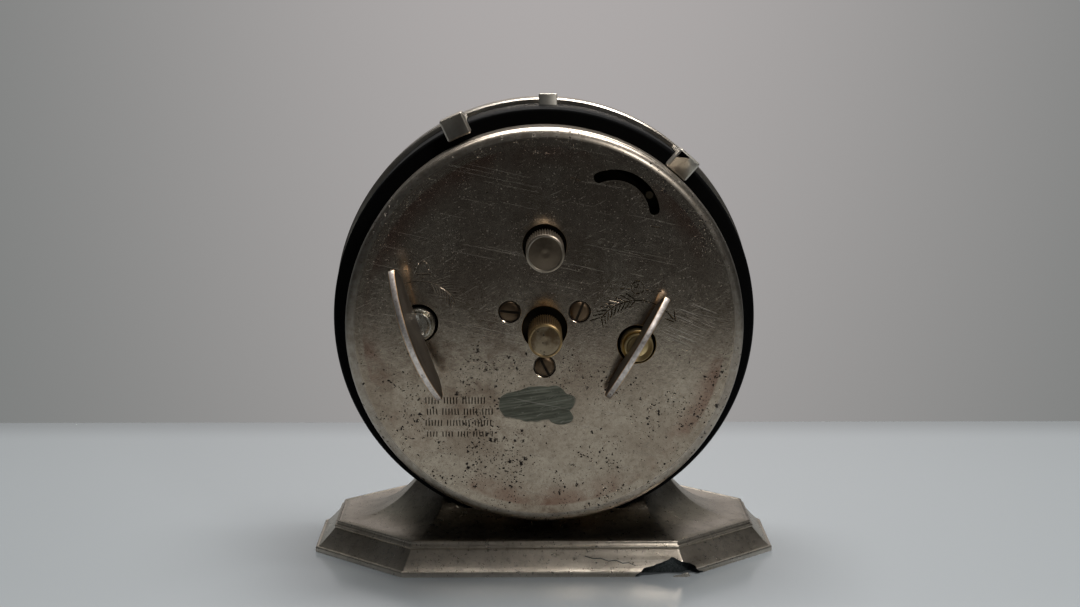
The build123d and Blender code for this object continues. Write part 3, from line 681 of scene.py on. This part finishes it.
def engravings():
    dashes = [stroke((-18.2 - k * 1.5, 9.6 - 0.1 * k), (-18.9 - k * 1.5, 9.6 - 0.1 * k))
              for k in (0, 1, 4, 5, 6)]
    signs = clock_sign(-22.3, 9.9, 2.7, 0.13) + bell_sign(29.0, 14.6, 3.4, 0.10)
    alarm_dashes = [stroke((x, 14.2 - abs(x - 29) * 0.04), (x - 0.8, 14.2 - abs(x - 29) * 0.04),
                           0.3, 0.08) for x in (25.8, 24.0, 22.2, 33.6)]
    return (feathered_arrow(TIME_KEY, 10.7, 36, 146, 0.13) + signs + dashes + alarm_dashes
            + feathered_arrow(ALARM_KEY, 10.3, 148, 62, 0.07) + rate_marks() + stamped_rows())


def bell_cover(nickel):
    """The thin cup with its worn shoulder, holes, screw recesses and marks."""
    inner = BELL_R - WALL
    profile = [(0, 0), (BELL_R - SHOULDER - 0.9, 0)]
    profile += [(BELL_R - 2.8 + 2.68 * math.sin(math.radians(a)),
                 SHOULDER - SHOULDER * math.cos(math.radians(a))) for a in range(5, 91, 5)]
    profile += [(BELL_R - 0.16, SHOULDER + 0.3), (BELL_R - 0.02, SHOULDER + 0.5),
                (BELL_R, SHOULDER + 0.8), (BELL_R, BELL_DEPTH - 0.3), (BELL_R - 0.2, BELL_DEPTH),
                (inner, BELL_DEPTH)]
    profile += arc((inner - 1.2, WALL + 1.2), 1.2, 0, -90, 6) + [(0, WALL)]
    shell = lathe(profile, SEGMENTS)
    cutters = [hole(CENTRE_HOLE_R, CENTRE), hole(ALARM_SET_HOLE_R, ALARM_SET),
               hole(KEY_HOLE_R, TIME_KEY), hole(KEY_HOLE_R, ALARM_KEY), slot_cutter()]
    for angle in SCREW_ANGLES:
        at = polar(SCREW_CIRCLE_R, angle)
        cutters.append(lathe([(0, -1), (2.8, -1), (2.8, -0.01), (2.62, 0.08), (2.5, 0.35),
                              (1.4, 0.36), (1.4, 2), (0, 2)], 48, at))
    holes = merged(*cutters)
    marks = merged(*engravings())
    shell = cut(cut(shell, [holes]), [marks], crossing=True)
    finish_piece(shell, "bell_cover_shell", nickel, "clock_case", ["bell_cover"], 28)


def bell_screws(steel, grime):
    """Three slotted screws with dirt and painted shade on the floors of their slots."""
    heads = []
    for angle, turn in zip(SCREW_ANGLES, SCREW_SLOT_TURNS):
        at = polar(SCREW_CIRCLE_R, angle)
        head = lathe([(0, -0.52), (1.5, -0.48), (2.1, -0.34), (2.36, -0.08), (2.4, 0.1),
                      (2.4, 0.34), (1.2, 0.35), (1.2, 4.4), (0, 4.4)], 48, at)
        head = cut(head, [moved(bar(8, 0.64, -2, SCREW_SLOT_FLOOR), placed(at, turn))])
        # the slot floors take the dark second material: dirt and painted shade
        for part in head.faces:
            middle = part.calc_center_median()
            reach = math.dist(middle[:2], at)
            if abs(middle.z - SCREW_SLOT_FLOOR) < 0.01 and reach < 2.2:
                part.material_index = 1
        heads.append(head)
    piece = finish_piece(merged(*heads), "bell_cover_screws", steel, "clock_case",
                         ["bell_screws"], 35)
    piece.data.materials.append(grime)


# ---- case, bezel and front ----
SHUTOFF_SLOT_HALF = 5.75
SHUTOFF_SLOT_DEPTHS = (27.6, 29.4)
DIAL_BACK = 33.6
DIAL_FACE = DIAL_BACK + 0.5
INK = (DIAL_FACE - 0.01, DIAL_FACE + 0.03)


def case_shell(black):
    """The drum, slotted for the shut-off lever."""
    wall = 0.8
    back, front = CASE_BACK, CASE_FRONT
    profile = [(42.0, back + 0.1), (42.15, back)]
    profile += arc((CASE_R - 0.9, back + 0.9), 0.9, -90, 0, 6)
    profile += [(CASE_R, front - 0.1), (CASE_R - 0.1, front), (CASE_R - wall, front),
                (CASE_R - wall, back + wall), (42.0, back + wall)]
    shell = lathe(profile, SEGMENTS)
    low, high = node_box("shutoff_lever")
    middle = (low.x + high.x) / 2
    left, right = middle - SHUTOFF_SLOT_HALF, middle + SHUTOFF_SLOT_HALF
    knife = prism([(left, 45), (right, 45), (right, 56), (left, 56)], *SHUTOFF_SLOT_DEPTHS)
    finish_piece(cut(shell, [knife]), "case_drum", black, "clock_case",
                 ["case_shell"], 30)


def bezel(nickel):
    """The rolled ring round the front."""
    r, back, front = BEZEL_R, BEZEL_BACK, BEZEL_FRONT
    inner = CASE_R + 0.05
    lip = 46.0
    profile = [(inner, back), (r - 0.35, back), (r, back + 0.35), (r, back + 1.6)]
    profile += [(r - 0.35, back + 2.2), (r - 0.5, back + 3.0), (r - 0.5, back + 6.1),
                (r - 0.35, back + 6.8)]
    profile += arc((r - 2.2, front - 2.2), 2.2, 0, 90, 10)
    profile += [(lip + 2.2, front - 0.15), (lip + 0.7, front - 0.5), (lip, front - 0.75),
                (lip, front - 1.08), (inner, front - 1.1)]
    finish_piece(lathe(profile, SEGMENTS), "bezel_ring", nickel, "clock_case",
                 ["bezel"], 30)


def dial(cream, black):
    """The dial plate, with numerals, minute track and an alarm circle printed on it."""
    plate = lathe([(3.4, DIAL_BACK), (DIAL_R, DIAL_BACK), (DIAL_R, DIAL_FACE), (3.4, DIAL_FACE)],
                  SEGMENTS)
    finish_piece(plate, "dial_plate", cream, "clock_case", ["dial"])
    marks = []
    under, over = INK

    def mark(length, width, radius, angle, at=CENTRE):
        marks.append(moved(bar(length, width, under, over),
                           placed(polar(radius, angle, at), angle)))

    def ring(radius, width, segments, at=CENTRE):
        marks.append(lathe([(radius - width, under), (radius, under), (radius, over),
                            (radius - width, over)], segments, at))

    for k in range(60):
        mark(2.6 if k % 5 == 0 else 1.6, 0.9 if k % 5 == 0 else 0.25, 43.2, k * 6)
    for radius in (44.7, 41.7):
        ring(radius, 0.25, 120)
    for radius in (9.2, 7.4):
        ring(radius, 0.2, 90, ALARM_SET)
    for k in range(24):
        mark(1.4, 0.45 if k % 2 == 0 else 0.2, 8.3, k * 15, ALARM_SET)
    for number in range(1, 13):
        marks.append(numeral(str(number), polar(35.6, 90 - 30 * number), 9.0))
    finish_piece(merged(*marks), "dial_print", black, "clock_case")


def numeral(text, at, size):
    """One numeral as thin raised ink."""
    curve = bpy.data.curves.new("numeral", "FONT")
    curve.body = text
    curve.size = size
    curve.align_x = "CENTER"
    curve.align_y = "CENTER"
    curve.extrude = 0.02
    thing = new_object("numeral", curve)
    graph = bpy.context.evaluated_depsgraph_get()
    mesh = bpy.data.meshes.new_from_object(thing.evaluated_get(graph))
    bm = bmesh.new()
    bm.from_mesh(mesh)
    bmesh.ops.remove_doubles(bm, verts=bm.verts, dist=1e-4)
    bpy.data.objects.remove(thing)
    bpy.data.curves.remove(curve)
    bpy.data.meshes.remove(mesh)
    return moved(bm, Matrix.Translation((*at, DIAL_FACE + 0.01)))


# ---- knobs and keys ----
def knob(name, node, at, radius, tip, grip, body, skin, face_skin, grime):
    """A knurled knob with a turned end face set into its rim.
    tip and grip are the depths of its end and of the end of its knurling."""
    neck = radius - 1.1
    profile = [(0, tip + 0.5), (radius - 0.62, tip + 0.5), (radius - 0.6, tip + 0.06),
               (radius - 0.5, tip), (radius - 0.3, tip), (radius - 0.08, tip + 0.1),
               (radius, tip + 0.35), (radius, tip + 0.75), (radius - 0.25, tip + 0.95)]
    plain = len(profile)
    rows = 8
    profile += [(radius, tip + 1.15 + (grip - tip - 1.15) * k / rows) for k in range(rows + 1)]
    knurled_rows = range(plain, len(profile))
    profile += [(radius - 0.4, grip + 0.35), (neck, grip + 0.4), (neck, 2.4), (0, 2.4)]

    def ripple(row, k):
        return -0.42 if row in knurled_rows and k % 4 in (2, 3) else 0.0

    bm = lathe(profile, 176, at, ripple)
    # the floors of the knurl grooves take the dark second material: dirt and painted shade
    for part in bm.faces:
        middle = part.calc_center_median()
        sunk = radius - math.dist(middle[:2], at)
        if 0.3 < sunk < 0.6 and tip + 1.0 < middle.z < grip:
            part.material_index = 1
    piece = finish_piece(bm, name, skin, body, [node], 40)
    piece.data.materials.append(grime)
    face = [(0, tip + 0.16), (0.35, tip + 0.14), (0.6, tip + 0.10), (1.1, tip + 0.09)]
    turns = 7
    for k in range(turns):
        r = 1.3 + (radius - 2.1) * k / (turns - 1)
        face += [(r, tip + 0.09), (r + 0.09, tip + 0.11)]
    face += [(radius - 0.64, tip + 0.13), (radius - 0.64, tip + 0.5), (0, tip + 0.5)]
    finish_piece(lathe(face, 96, at), name + "_face", face_skin, body)


def key_wing(half, near, shoulder, ends, crown, thick, bow, lean):
    """A folded sheet wing: x along the span, z the depth, cupped by bow and tilted by lean."""
    columns, rows = 28, 8
    bm = bmesh.new()
    grid = []
    for side in (-1, 1):
        sheet = []
        for i in range(columns + 1):
            s = -1 + 2 * i / columns
            reach = abs(s)
            inner = near + (shoulder - near) * min(1.0, max(0.0, reach - 0.16) / 0.72) ** 0.9
            outer = crown + (ends - crown) * reach ** 2.2
            line = []
            for j in range(rows + 1):
                t = j / rows
                rounding = max(0.0, (reach - 0.8) / 0.2) ** 2 * 0.8
                z = inner + (outer - inner) * (t + (1 - t) * rounding)
                pinch = 1 - 0.05 * (1 - t) * reach
                y = bow * (1 - s * s) * (0.5 + 0.5 * t) + lean * (1 - t) * (0.35 + 0.65 * reach)
                line.append(bm.verts.new((half * s * pinch, y + side * thick / 2, z)))
            sheet.append(line)
        grid.append(sheet)
    for sheet in grid:
        for i in range(columns):
            for j in range(rows):
                bm.faces.new((sheet[i][j], sheet[i + 1][j], sheet[i + 1][j + 1], sheet[i][j + 1]))
    back, front = grid
    # the outer rim and the ends take the third material, a painted highlight; the inner rim keeps
    # the face's material
    for i in range(columns):
        for j in (0, rows):
            rim = bm.faces.new((back[i][j], back[i + 1][j], front[i + 1][j], front[i][j]))
            rim.material_index = 2 if j else 0
    for j in range(rows):
        for i in (0, columns):
            rim = bm.faces.new((back[i][j], back[i][j + 1], front[i][j + 1], front[i][j]))
            rim.material_index = 2
    bmesh.ops.recalc_face_normals(bm, faces=bm.faces)
    sharp = [edge for edge in bm.edges if edge.calc_face_angle(0) > math.radians(50)]
    done = bmesh.ops.bevel(bm, geom=sharp, offset=0.16, segments=2, profile=0.5, affect="EDGES")
    for face in done["faces"]:
        face.material_index = 1
    return bm


def winding_key(name, node, at, turn, wing, hub_skin, plate_skin, edge_wear_and_highlight_skins, body):
    """A folding key: its wing, its cupped hub and the bent tab that holds the wing."""
    place = placed(at, turn)
    piece = finish_piece(moved(key_wing(**wing), place), name + "_wing", plate_skin, body,
                         [node], 40)
    for skin in edge_wear_and_highlight_skins:
        piece.data.materials.append(skin)
    hub = lathe([(0, -2.5), (1.6, -2.45), (2.6, -2.1), (3.2, -2.3), (3.5, -2.55), (3.72, -2.6),
                 (3.86, -2.4), (3.9, -1.9), (3.9, 2.8), (3.7, 3.0), (2.05, 3.0), (2.0, -0.4),
                 (0, -0.4)], 72, at)
    finish_piece(hub, name + "_hub", hub_skin, body)
    side = math.copysign(1, wing["lean"])
    tab = [(x, side * y) for x, y in arc(CENTRE, 3.1, 0, 180, 15)]
    tab = prism(tab if side > 0 else tab[::-1], -3.5, -2.0)
    well = [(2.35 * math.cos(math.radians(a)), side * (0.5 + 1.9 * math.sin(math.radians(a))))
            for a in range(0, 181, 15)]
    tab = cut(tab, [prism(well if side > 0 else well[::-1], -4.5, -2.9)])
    bevel_sharp(tab, 0.18)
    finish_piece(moved(tab, place), name + "_tab", hub_skin, body)


# ---- stand ----
FOOT_CHAMFER = 23.0
FOOT_HALF_X = BASE_HIGH.x
FOOT_HALF_Y = (BASE_HIGH.y - BASE_LOW.y) / 2
FOOT_MIDDLE_Y = (BASE_HIGH.y + BASE_LOW.y) / 2
CAST_WALL = 2.2


def octagon(inset, z):
    """The eight corners of the stand's outline, shrunk by inset, at height z."""
    half_x, half_y = FOOT_HALF_X - inset, FOOT_HALF_Y - inset
    c = FOOT_CHAMFER - inset * (2 - math.sqrt(2))
    corners = ((half_x - c, half_y), (-half_x + c, half_y), (-half_x, half_y - c),
               (-half_x, -half_y + c), (-half_x + c, -half_y), (half_x - c, -half_y),
               (half_x, -half_y + c), (half_x, half_y - c))
    return [(x, y + FOOT_MIDDLE_Y, z) for x, y in corners]


def stand_profile():
    """(inset, height): foot lip, sloping apron, two beads, and the top that sweeps up."""
    rows = [(0.0, 0.0), (0.0, 0.95), (0.12, 1.2), (0.4, 1.35), (0.7, 1.3)]
    rows += [(0.7 + 4.1 * t, 1.3 + 4.35 * t ** 1.12) for t in (0.15, 0.35, 0.55, 0.75, 0.9, 1.0)]
    for centre, height, radius in ((5.05, 6.05, 0.42), (5.75, 7.0, 0.42)):
        rows += arc((centre, height), radius, 200, 75, 5)
    rows += [(6.2, 7.22), (6.9, 7.45)]
    rows += [(6.9 + 19.6 * t, 7.5 + 10.5 * t ** 2.7) for t in
             (0.1, 0.2, 0.3, 0.4, 0.5, 0.6, 0.68, 0.76, 0.84, 0.92, 1.0)]
    return rows


def stand_body():
    """The hollow casting before its saddle is cut."""
    outside = stand_profile()
    inside = [(inset + CAST_WALL, z - CAST_WALL) for inset, z in
              ((4.6, 5.6), (6.6, 7.3), (16.7, 9.6), (22.6, 13.0), (26.5, 17.8))]
    inside = [(CAST_WALL, 0.0), (CAST_WALL + 0.6, 0.9)] + inside
    bm = bmesh.new()
    outer = [[bm.verts.new(corner) for corner in octagon(*row)] for row in outside]
    inner = [[bm.verts.new(corner) for corner in octagon(*row)] for row in inside]
    for wall in (outer, inner):
        for low, high in zip(wall, wall[1:]):
            bridge(bm, low, high)
        bm.faces.new(wall[-1])
    bridge(bm, outer[0], inner[0])
    bmesh.ops.recalc_face_normals(bm, faces=bm.faces)
    outer_verts = set(sum(outer, []))
    mitres = [edge for edge in bm.edges
              if all(vert in outer_verts for vert in edge.verts)
              and abs(edge.verts[0].co.z - edge.verts[1].co.z) > 1e-6
              and edge.calc_face_angle(0) > 0.1]
    bmesh.ops.bevel(bm, geom=mitres, offset=0.28, segments=3, profile=0.5, affect="EDGES")
    return bm


def chip():
    """The piece broken out of the corner of the apron."""
    rng = random.Random(7)
    # (x, height) along the edge of the break
    outline = [(-21.2, -1.0), (-21.7, 0.5), (-22.8, 1.3), (-24.0, 2.0), (-25.9, 2.3),
               (-27.6, 2.9), (-29.2, 3.2), (-30.5, 4.0), (-31.4, 3.9), (-32.6, 3.2),
               (-34.5, 2.6), (-36.2, 1.9), (-37.3, 1.1), (-38.2, 0.2), (-38.3, -1.0)]
    front = FOOT_MIDDLE_Y + FOOT_HALF_Y
    corner = FOOT_HALF_X - FOOT_CHAMFER
    bm = bmesh.new()
    sheets = []
    for depth in (-4.6, -3.6, -2.6, -1.6, -0.6, 2.0):
        sheets.append([bm.verts.new((x + rng.uniform(-0.3, 0.3),
                                     front + depth - max(0.0, -x - corner)
                                     + (rng.uniform(-0.5, 0.5) if depth < -4 else 0),
                                     z + (rng.uniform(-0.25, 0.25) if z > 0 else 0)))
                       for x, z in outline])
    for near, far in zip(sheets, sheets[1:]):
        bridge(bm, near, far)
    for sheet in (sheets[0], sheets[-1]):
        bm.faces.new(sheet)
    bmesh.ops.triangulate(bm, faces=bm.faces)
    return painted(bm)


def crack():
    """The line where the casting has started to flake, running from the break."""
    points = [(-21.9, 2.4), (-20.4, 3.0), (-18.8, 2.9), (-17.2, 3.5), (-15.4, 3.3), (-13.6, 3.9),
              (-11.8, 3.8), (-9.8, 4.3)]
    cuts = []
    for (x0, z0), (x1, z1) in zip(points, points[1:]):
        bm = bmesh.new()
        y0, y1 = 28.2 - z0 * 0.95, 28.2 - z1 * 0.95
        ends = []
        for x, y, z in ((x0 - 0.04, y0, z0), (x1 + 0.04, y1, z1)):
            ends.append([bm.verts.new((x, y + dy, z + dz)) for dy, dz in
                         ((0.2, -0.16), (0.45, 0.2), (-1.35, -0.35))])
        bridge(bm, *ends)
        bm.faces.new(ends[0])
        bm.faces.new(ends[1][::-1])
        cuts.append(painted(bm))
    return cuts


def broken_wall():
    """A dark filler of broken metal set behind the break: painted shade where the hollow stand
    shows only shade.
    """
    sides = []
    for inset in (3.9, 7.2):
        bend, far = (Vector(octagon(inset, 0.0)[k]) for k in (1, 2))
        end = bend + (far - bend).normalized() * 6.5
        sides.append([(-20.4, bend.y), (bend.x, bend.y), (end.x, end.y)])
    return painted(prism(sides[0] + sides[1][::-1], 0.03, 4.3))


def stand(cast, broken):
    """The casting, hollowed to seat the case, the bezel and the bell cover."""

    def drum(radius, start, end):
        return moved(lathe([(0, start), (radius, start), (radius, end), (0, end)], 200), DRUM)

    saddles = [drum(CASE_R + 0.02, CASE_BACK - 0.6, BEZEL_BACK - 0.3),
               drum(BEZEL_R + 0.5, BEZEL_BACK - 0.4, 90),
               drum(BELL_R + 1.2, -30, CASE_BACK - 0.5)]
    body = merged(cut(stand_body(), saddles + [chip()] + crack()), broken_wall())
    piece = finish_piece(body, "stand_casting", cast, "clock_case",
                         ["base_casting"], 24, Matrix.Identity(4))
    piece.data.materials.append(broken)


# ---- small pieces kept from the CAD, and the whole timer ----
def softened(node, width, skin, body):
    """A CAD node's own shape with its edges rounded."""
    bm = bmesh.new()
    bm.from_mesh(frame["nodes"][node].data)
    moved(bm, Matrix.Scale(1 / MM, 4))
    bmesh.ops.remove_doubles(bm, verts=bm.verts, dist=1e-4)
    bevel_sharp(bm, width)
    finish_piece(bm, node + "_soft", skin, body, [node], place=Matrix.Identity(4))


def dress(nodes, skin):
    """Gives CAD nodes a material."""
    for node in nodes:
        materials = frame["nodes"][node].data.materials
        for k in range(len(materials)):
            materials[k] = skin


def build():
    nickel = bell_nickel()
    # dark metal for the floors of screw slots and knurl grooves: dirt and painted shade
    grime = metal("grime", (0.05, 0.04, 0.03), (0.03, 0.024, 0.018), 0.60)
    brass = metal("knob_brass", (0.42, 0.29, 0.14), (0.20, 0.135, 0.07), 0.30, pits=0.6)
    knob_nickel = metal("knob_nickel", (0.40, 0.34, 0.27), (0.22, 0.18, 0.13), 0.27)
    pale_face = metal("knob_face", (0.34, 0.27, 0.18), (0.15, 0.10, 0.055), 0.34, pits=0.9,
                      patina_scale=0.35)
    dull_face = metal("knob_face_dull", (0.18, 0.14, 0.10), (0.09, 0.07, 0.05), 0.32)
    key_skin = metal("key_nickel", (0.26, 0.22, 0.18), (0.14, 0.115, 0.09), 0.34, pits=0.6)
    # the brass on the key wings' bevels is wear; the pale nickel on their outer rims and ends is a
    # lit copy of the key's nickel, a painted highlight
    key_edge_wear_and_highlights = (metal("key_edge_brass", (0.60, 0.38, 0.20), (0.40, 0.25, 0.13), 0.35),
                 metal("key_edge_nickel_painted_highlight", (0.80, 0.73, 0.68), (0.50, 0.44, 0.40), 0.36, pits=0.8,
                       patina_scale=0.9))
    hub_silver = metal("key_hub_nickel", (0.62, 0.60, 0.54), (0.42, 0.38, 0.32), 0.22)
    hub_brass = metal("key_hub_brass", (0.60, 0.46, 0.24), (0.42, 0.31, 0.15), 0.28)
    screw_brown = metal("bronzed_steel", (0.17, 0.115, 0.07), (0.075, 0.052, 0.034), 0.36, pits=0.8)
    clip_skin = metal("clip_nickel", (0.52, 0.49, 0.43), (0.36, 0.32, 0.27), 0.34, pits=0.5)
    bright = metal("bright_nickel", (0.58, 0.53, 0.46), (0.42, 0.37, 0.31), 0.24, pits=0.3,
                   bump=0.004)
    cream = printed("dial_white", (0.80, 0.77, 0.66), (0.62, 0.53, 0.36))
    ink = printed("black_hands", (0.012, 0.012, 0.012), (0.04, 0.03, 0.025), 0.35)
    wheel_brass = metal("movement_brass", (0.30, 0.22, 0.11), (0.16, 0.11, 0.06), 0.34)
    # the plates and regulator are seen only in the dark inside of the case: their brass is painted
    # almost black, as painted shade
    plate_brass_painted_shade = metal("plate_brass_painted_shade", (0.04, 0.031, 0.02), (0.02, 0.016, 0.011), 0.55)
    steel = metal("movement_steel", (0.42, 0.42, 0.42), (0.30, 0.29, 0.28), 0.30)
    spring = metal("spring_steel", (0.16, 0.19, 0.27), (0.10, 0.11, 0.16), 0.25)

    bell_cover(nickel)
    bell_screws(screw_brown, grime)
    case_shell(enamel())
    bezel(bright)
    dial(cream, ink)
    stand(cast_metal(), fracture())
    knob("time_setting_knob", "hand_set_knob", CENTRE, 4.0, -17.5, -3.0, "hand_setting_arbor",
         brass, pale_face, grime)
    knob("alarm_setting_knob", "alarm_set_knob", ALARM_SET, 4.5, -14.2, -2.6,
         "alarm_setting_arbor", knob_nickel, dull_face, grime)
    winding_key("alarm_winding_key", "alarm_key", ALARM_KEY, 70.3,
                dict(half=16.2, near=-3.4, shoulder=-9.5, ends=-17.0, crown=-24.0, thick=1.5,
                     bow=-1.3, lean=0.5),
                hub_silver, key_skin, key_edge_wear_and_highlights, "alarm_winding_set")
    winding_key("time_winding_key", "time_key", TIME_KEY, 120.5,
                dict(half=14.0, near=-1.2, shoulder=-2.6, ends=-5.2, crown=-11.2, thick=1.5,
                     bow=-0.4, lean=-0.45),
                hub_brass, key_skin, key_edge_wear_and_highlights, "time_winding_set")
    for side in ("left", "right"):
        softened("marker_clip_" + side, 0.45, clip_skin, side + "_marker")
    softened("shutoff_lever", 0.22, clip_skin, "shutoff_set")
    for hand, body in (("minute_hand", "hand_setting_arbor"), ("hour_hand", "hour_wheel_set"),
                       ("alarm_hand", "alarm_setting_arbor")):
        softened(hand, 0.09, ink, body)

    dress(["crystal"], clear_glass())
    dress(["reflector_ring"], bright)
    # painted shade: the plates and regulator take the almost black brass
    dress(["back_plate", "front_plate", "regulator"], plate_brass_painted_shade)
    dress([node for node in frame["nodes"] if node.endswith("_wheel")], wheel_brass)
    dress(["cannon_pinion", "bell_posts"], wheel_brass)
    dress([node for node in frame["nodes"] if node.endswith("spring")], spring)
    dress(["plate_pillars", "pillar_nuts", "hairspring_stud", "minute_stud", "shutoff_screw",
           "time_arbor", "alarm_arbor", "centre_arbor", "alarm_set_arbor", "time_click",
           "alarm_click", "pallet_lever", "alarm_hammer", "case_pillars", "case_screws",
           "base_screws", "base_nuts"], steel)


# ---- stage, camera and light ----
CAMERA_MM = (4.78, BACK_Y + 475.85, 140.5)
CAMERA_PITCH = 8.94
CAMERA_YAW = 0.442
CAMERA_LENS = 67.13
TABLE_BACK = -154.0
TABLE_FRONT = 318.0
TABLE_HALF = 520.0
TABLE_UNDER = -60.0
TABLE_ROUND = 7.0
WALL_Y = -1150.0
WALL_HALF = 1200.0
WALL_LOW, WALL_HIGH = -600.0, 1300.0


def stage_piece(bm, name, material):
    mesh = bpy.data.meshes.new(name)
    bm.to_mesh(mesh)
    bm.free()
    mesh.transform(Matrix.Scale(MM, 4))
    mesh.materials.append(material)
    mesh.polygons.foreach_set("use_smooth", [True] * len(mesh.polygons))
    thing = new_object(name, mesh)
    return thing


def table():
    """A pale table with a rounded far edge, painted darker towards that edge as painted shade and
    lighter towards the front as painted light.
    """
    s = Surface("pale_table")
    # painted shade: the colour falls a third of the way to black over the band before the far edge
    far = s.ramp(s.axis(1), TABLE_BACK + 2.0, TABLE_BACK + 34.0, 0.66, 1.0)
    # painted light: the colour grows lighter from just in front of the stand to the front edge,
    # making up for the stand's shadow
    tone = s.mix(s.ramp(s.axis(1), 20.0, TABLE_FRONT), (0.285, 0.307, 0.32), (0.44, 0.47, 0.485))
    s.set(base_color=s.mix(far, (0.0, 0.0, 0.0), tone), roughness=0.16,
          specular_IOR_level=0.5)
    bm = bmesh.new()
    rows = [(TABLE_FRONT, TABLE_UNDER), (TABLE_FRONT, 0.0)]
    rows += arc((TABLE_BACK + TABLE_ROUND, -TABLE_ROUND), TABLE_ROUND, 90, 180, 9)
    rows += [(TABLE_BACK, TABLE_UNDER)]
    edges = [[bm.verts.new((x, y, z)) for x in (-TABLE_HALF, TABLE_HALF)] for y, z in rows]
    for (a, b), (c, d) in zip(edges, edges[1:]):
        bm.faces.new((a, b, d, c))
    thing = stage_piece(bm, "stage_table", s.material)
    thing.data.set_sharp_from_angle(angle=math.radians(40))


def backdrop():
    """A wall with a soft glow behind the timer."""
    s = Surface("backdrop")
    distance = s.spot(-30.0, 350.0, 405.0, 935.0)
    glow = s.math("EXPONENT", s.times(s.times(distance, distance), -1.0))
    tone = s.mix(glow, (0.166, 0.178, 0.175), (0.433, 0.409, 0.405))
    s.set(base_color=(0.0, 0.0, 0.0), roughness=1.0, specular_IOR_level=0.0,
          emission_color=tone, emission_strength=1.0)
    bm = bmesh.new()
    bm.faces.new([bm.verts.new((x, WALL_Y, z)) for x, z in
                  ((-WALL_HALF, WALL_LOW), (WALL_HALF, WALL_LOW),
                   (WALL_HALF, WALL_HIGH), (-WALL_HALF, WALL_HIGH))])
    stage_piece(bm, "stage_backdrop", s.material)


def area_light(name, place, target, size_x, size_y, power, colour):
    lamp = bpy.data.lights.new(name, "AREA")
    lamp.shape = "RECTANGLE"
    lamp.size, lamp.size_y = size_x * MM, size_y * MM
    lamp.energy = power
    lamp.color = colour
    thing = new_object(name, lamp)
    thing.location = Vector(place) * MM
    aim = Vector(target) * MM - thing.location
    thing.rotation_euler = aim.to_track_quat("-Z", "Y").to_euler()


def lights():
    area_light("top_softbox", (-70, -132, 760), (0, 0, 0), 700, 360, 11.0, (1.0, 0.985, 0.97))
    area_light("window", (-230, 430, 380), (0, 20, 60), 80, 60, 0.5, (1.0, 0.99, 0.97))
    world = bpy.data.worlds.new("studio")
    bpy.context.scene.world = world
    world.use_nodes = True
    sky = world.node_tree.nodes["Background"].inputs
    sky["Color"].default_value = (0.9, 0.95, 1.0, 1.0)
    sky["Strength"].default_value = 0.04


def camera():
    lens = bpy.data.cameras.new("camera")
    lens.lens = CAMERA_LENS
    lens.sensor_width = 36.0
    lens.clip_start = 0.01
    eye = new_object("camera", lens)
    eye.location = Vector(CAMERA_MM) * MM
    pitch, yaw = math.radians(CAMERA_PITCH), math.radians(CAMERA_YAW)
    forward = Vector((-math.sin(yaw) * math.cos(pitch), -math.cos(yaw) * math.cos(pitch),
                      -math.sin(pitch)))
    eye.rotation_euler = forward.to_track_quat("-Z", "Y").to_euler()
    bpy.context.scene.camera = eye


camera()
build()
table()
backdrop()
lights()
bpy.context.scene.view_settings.view_transform = "Standard"
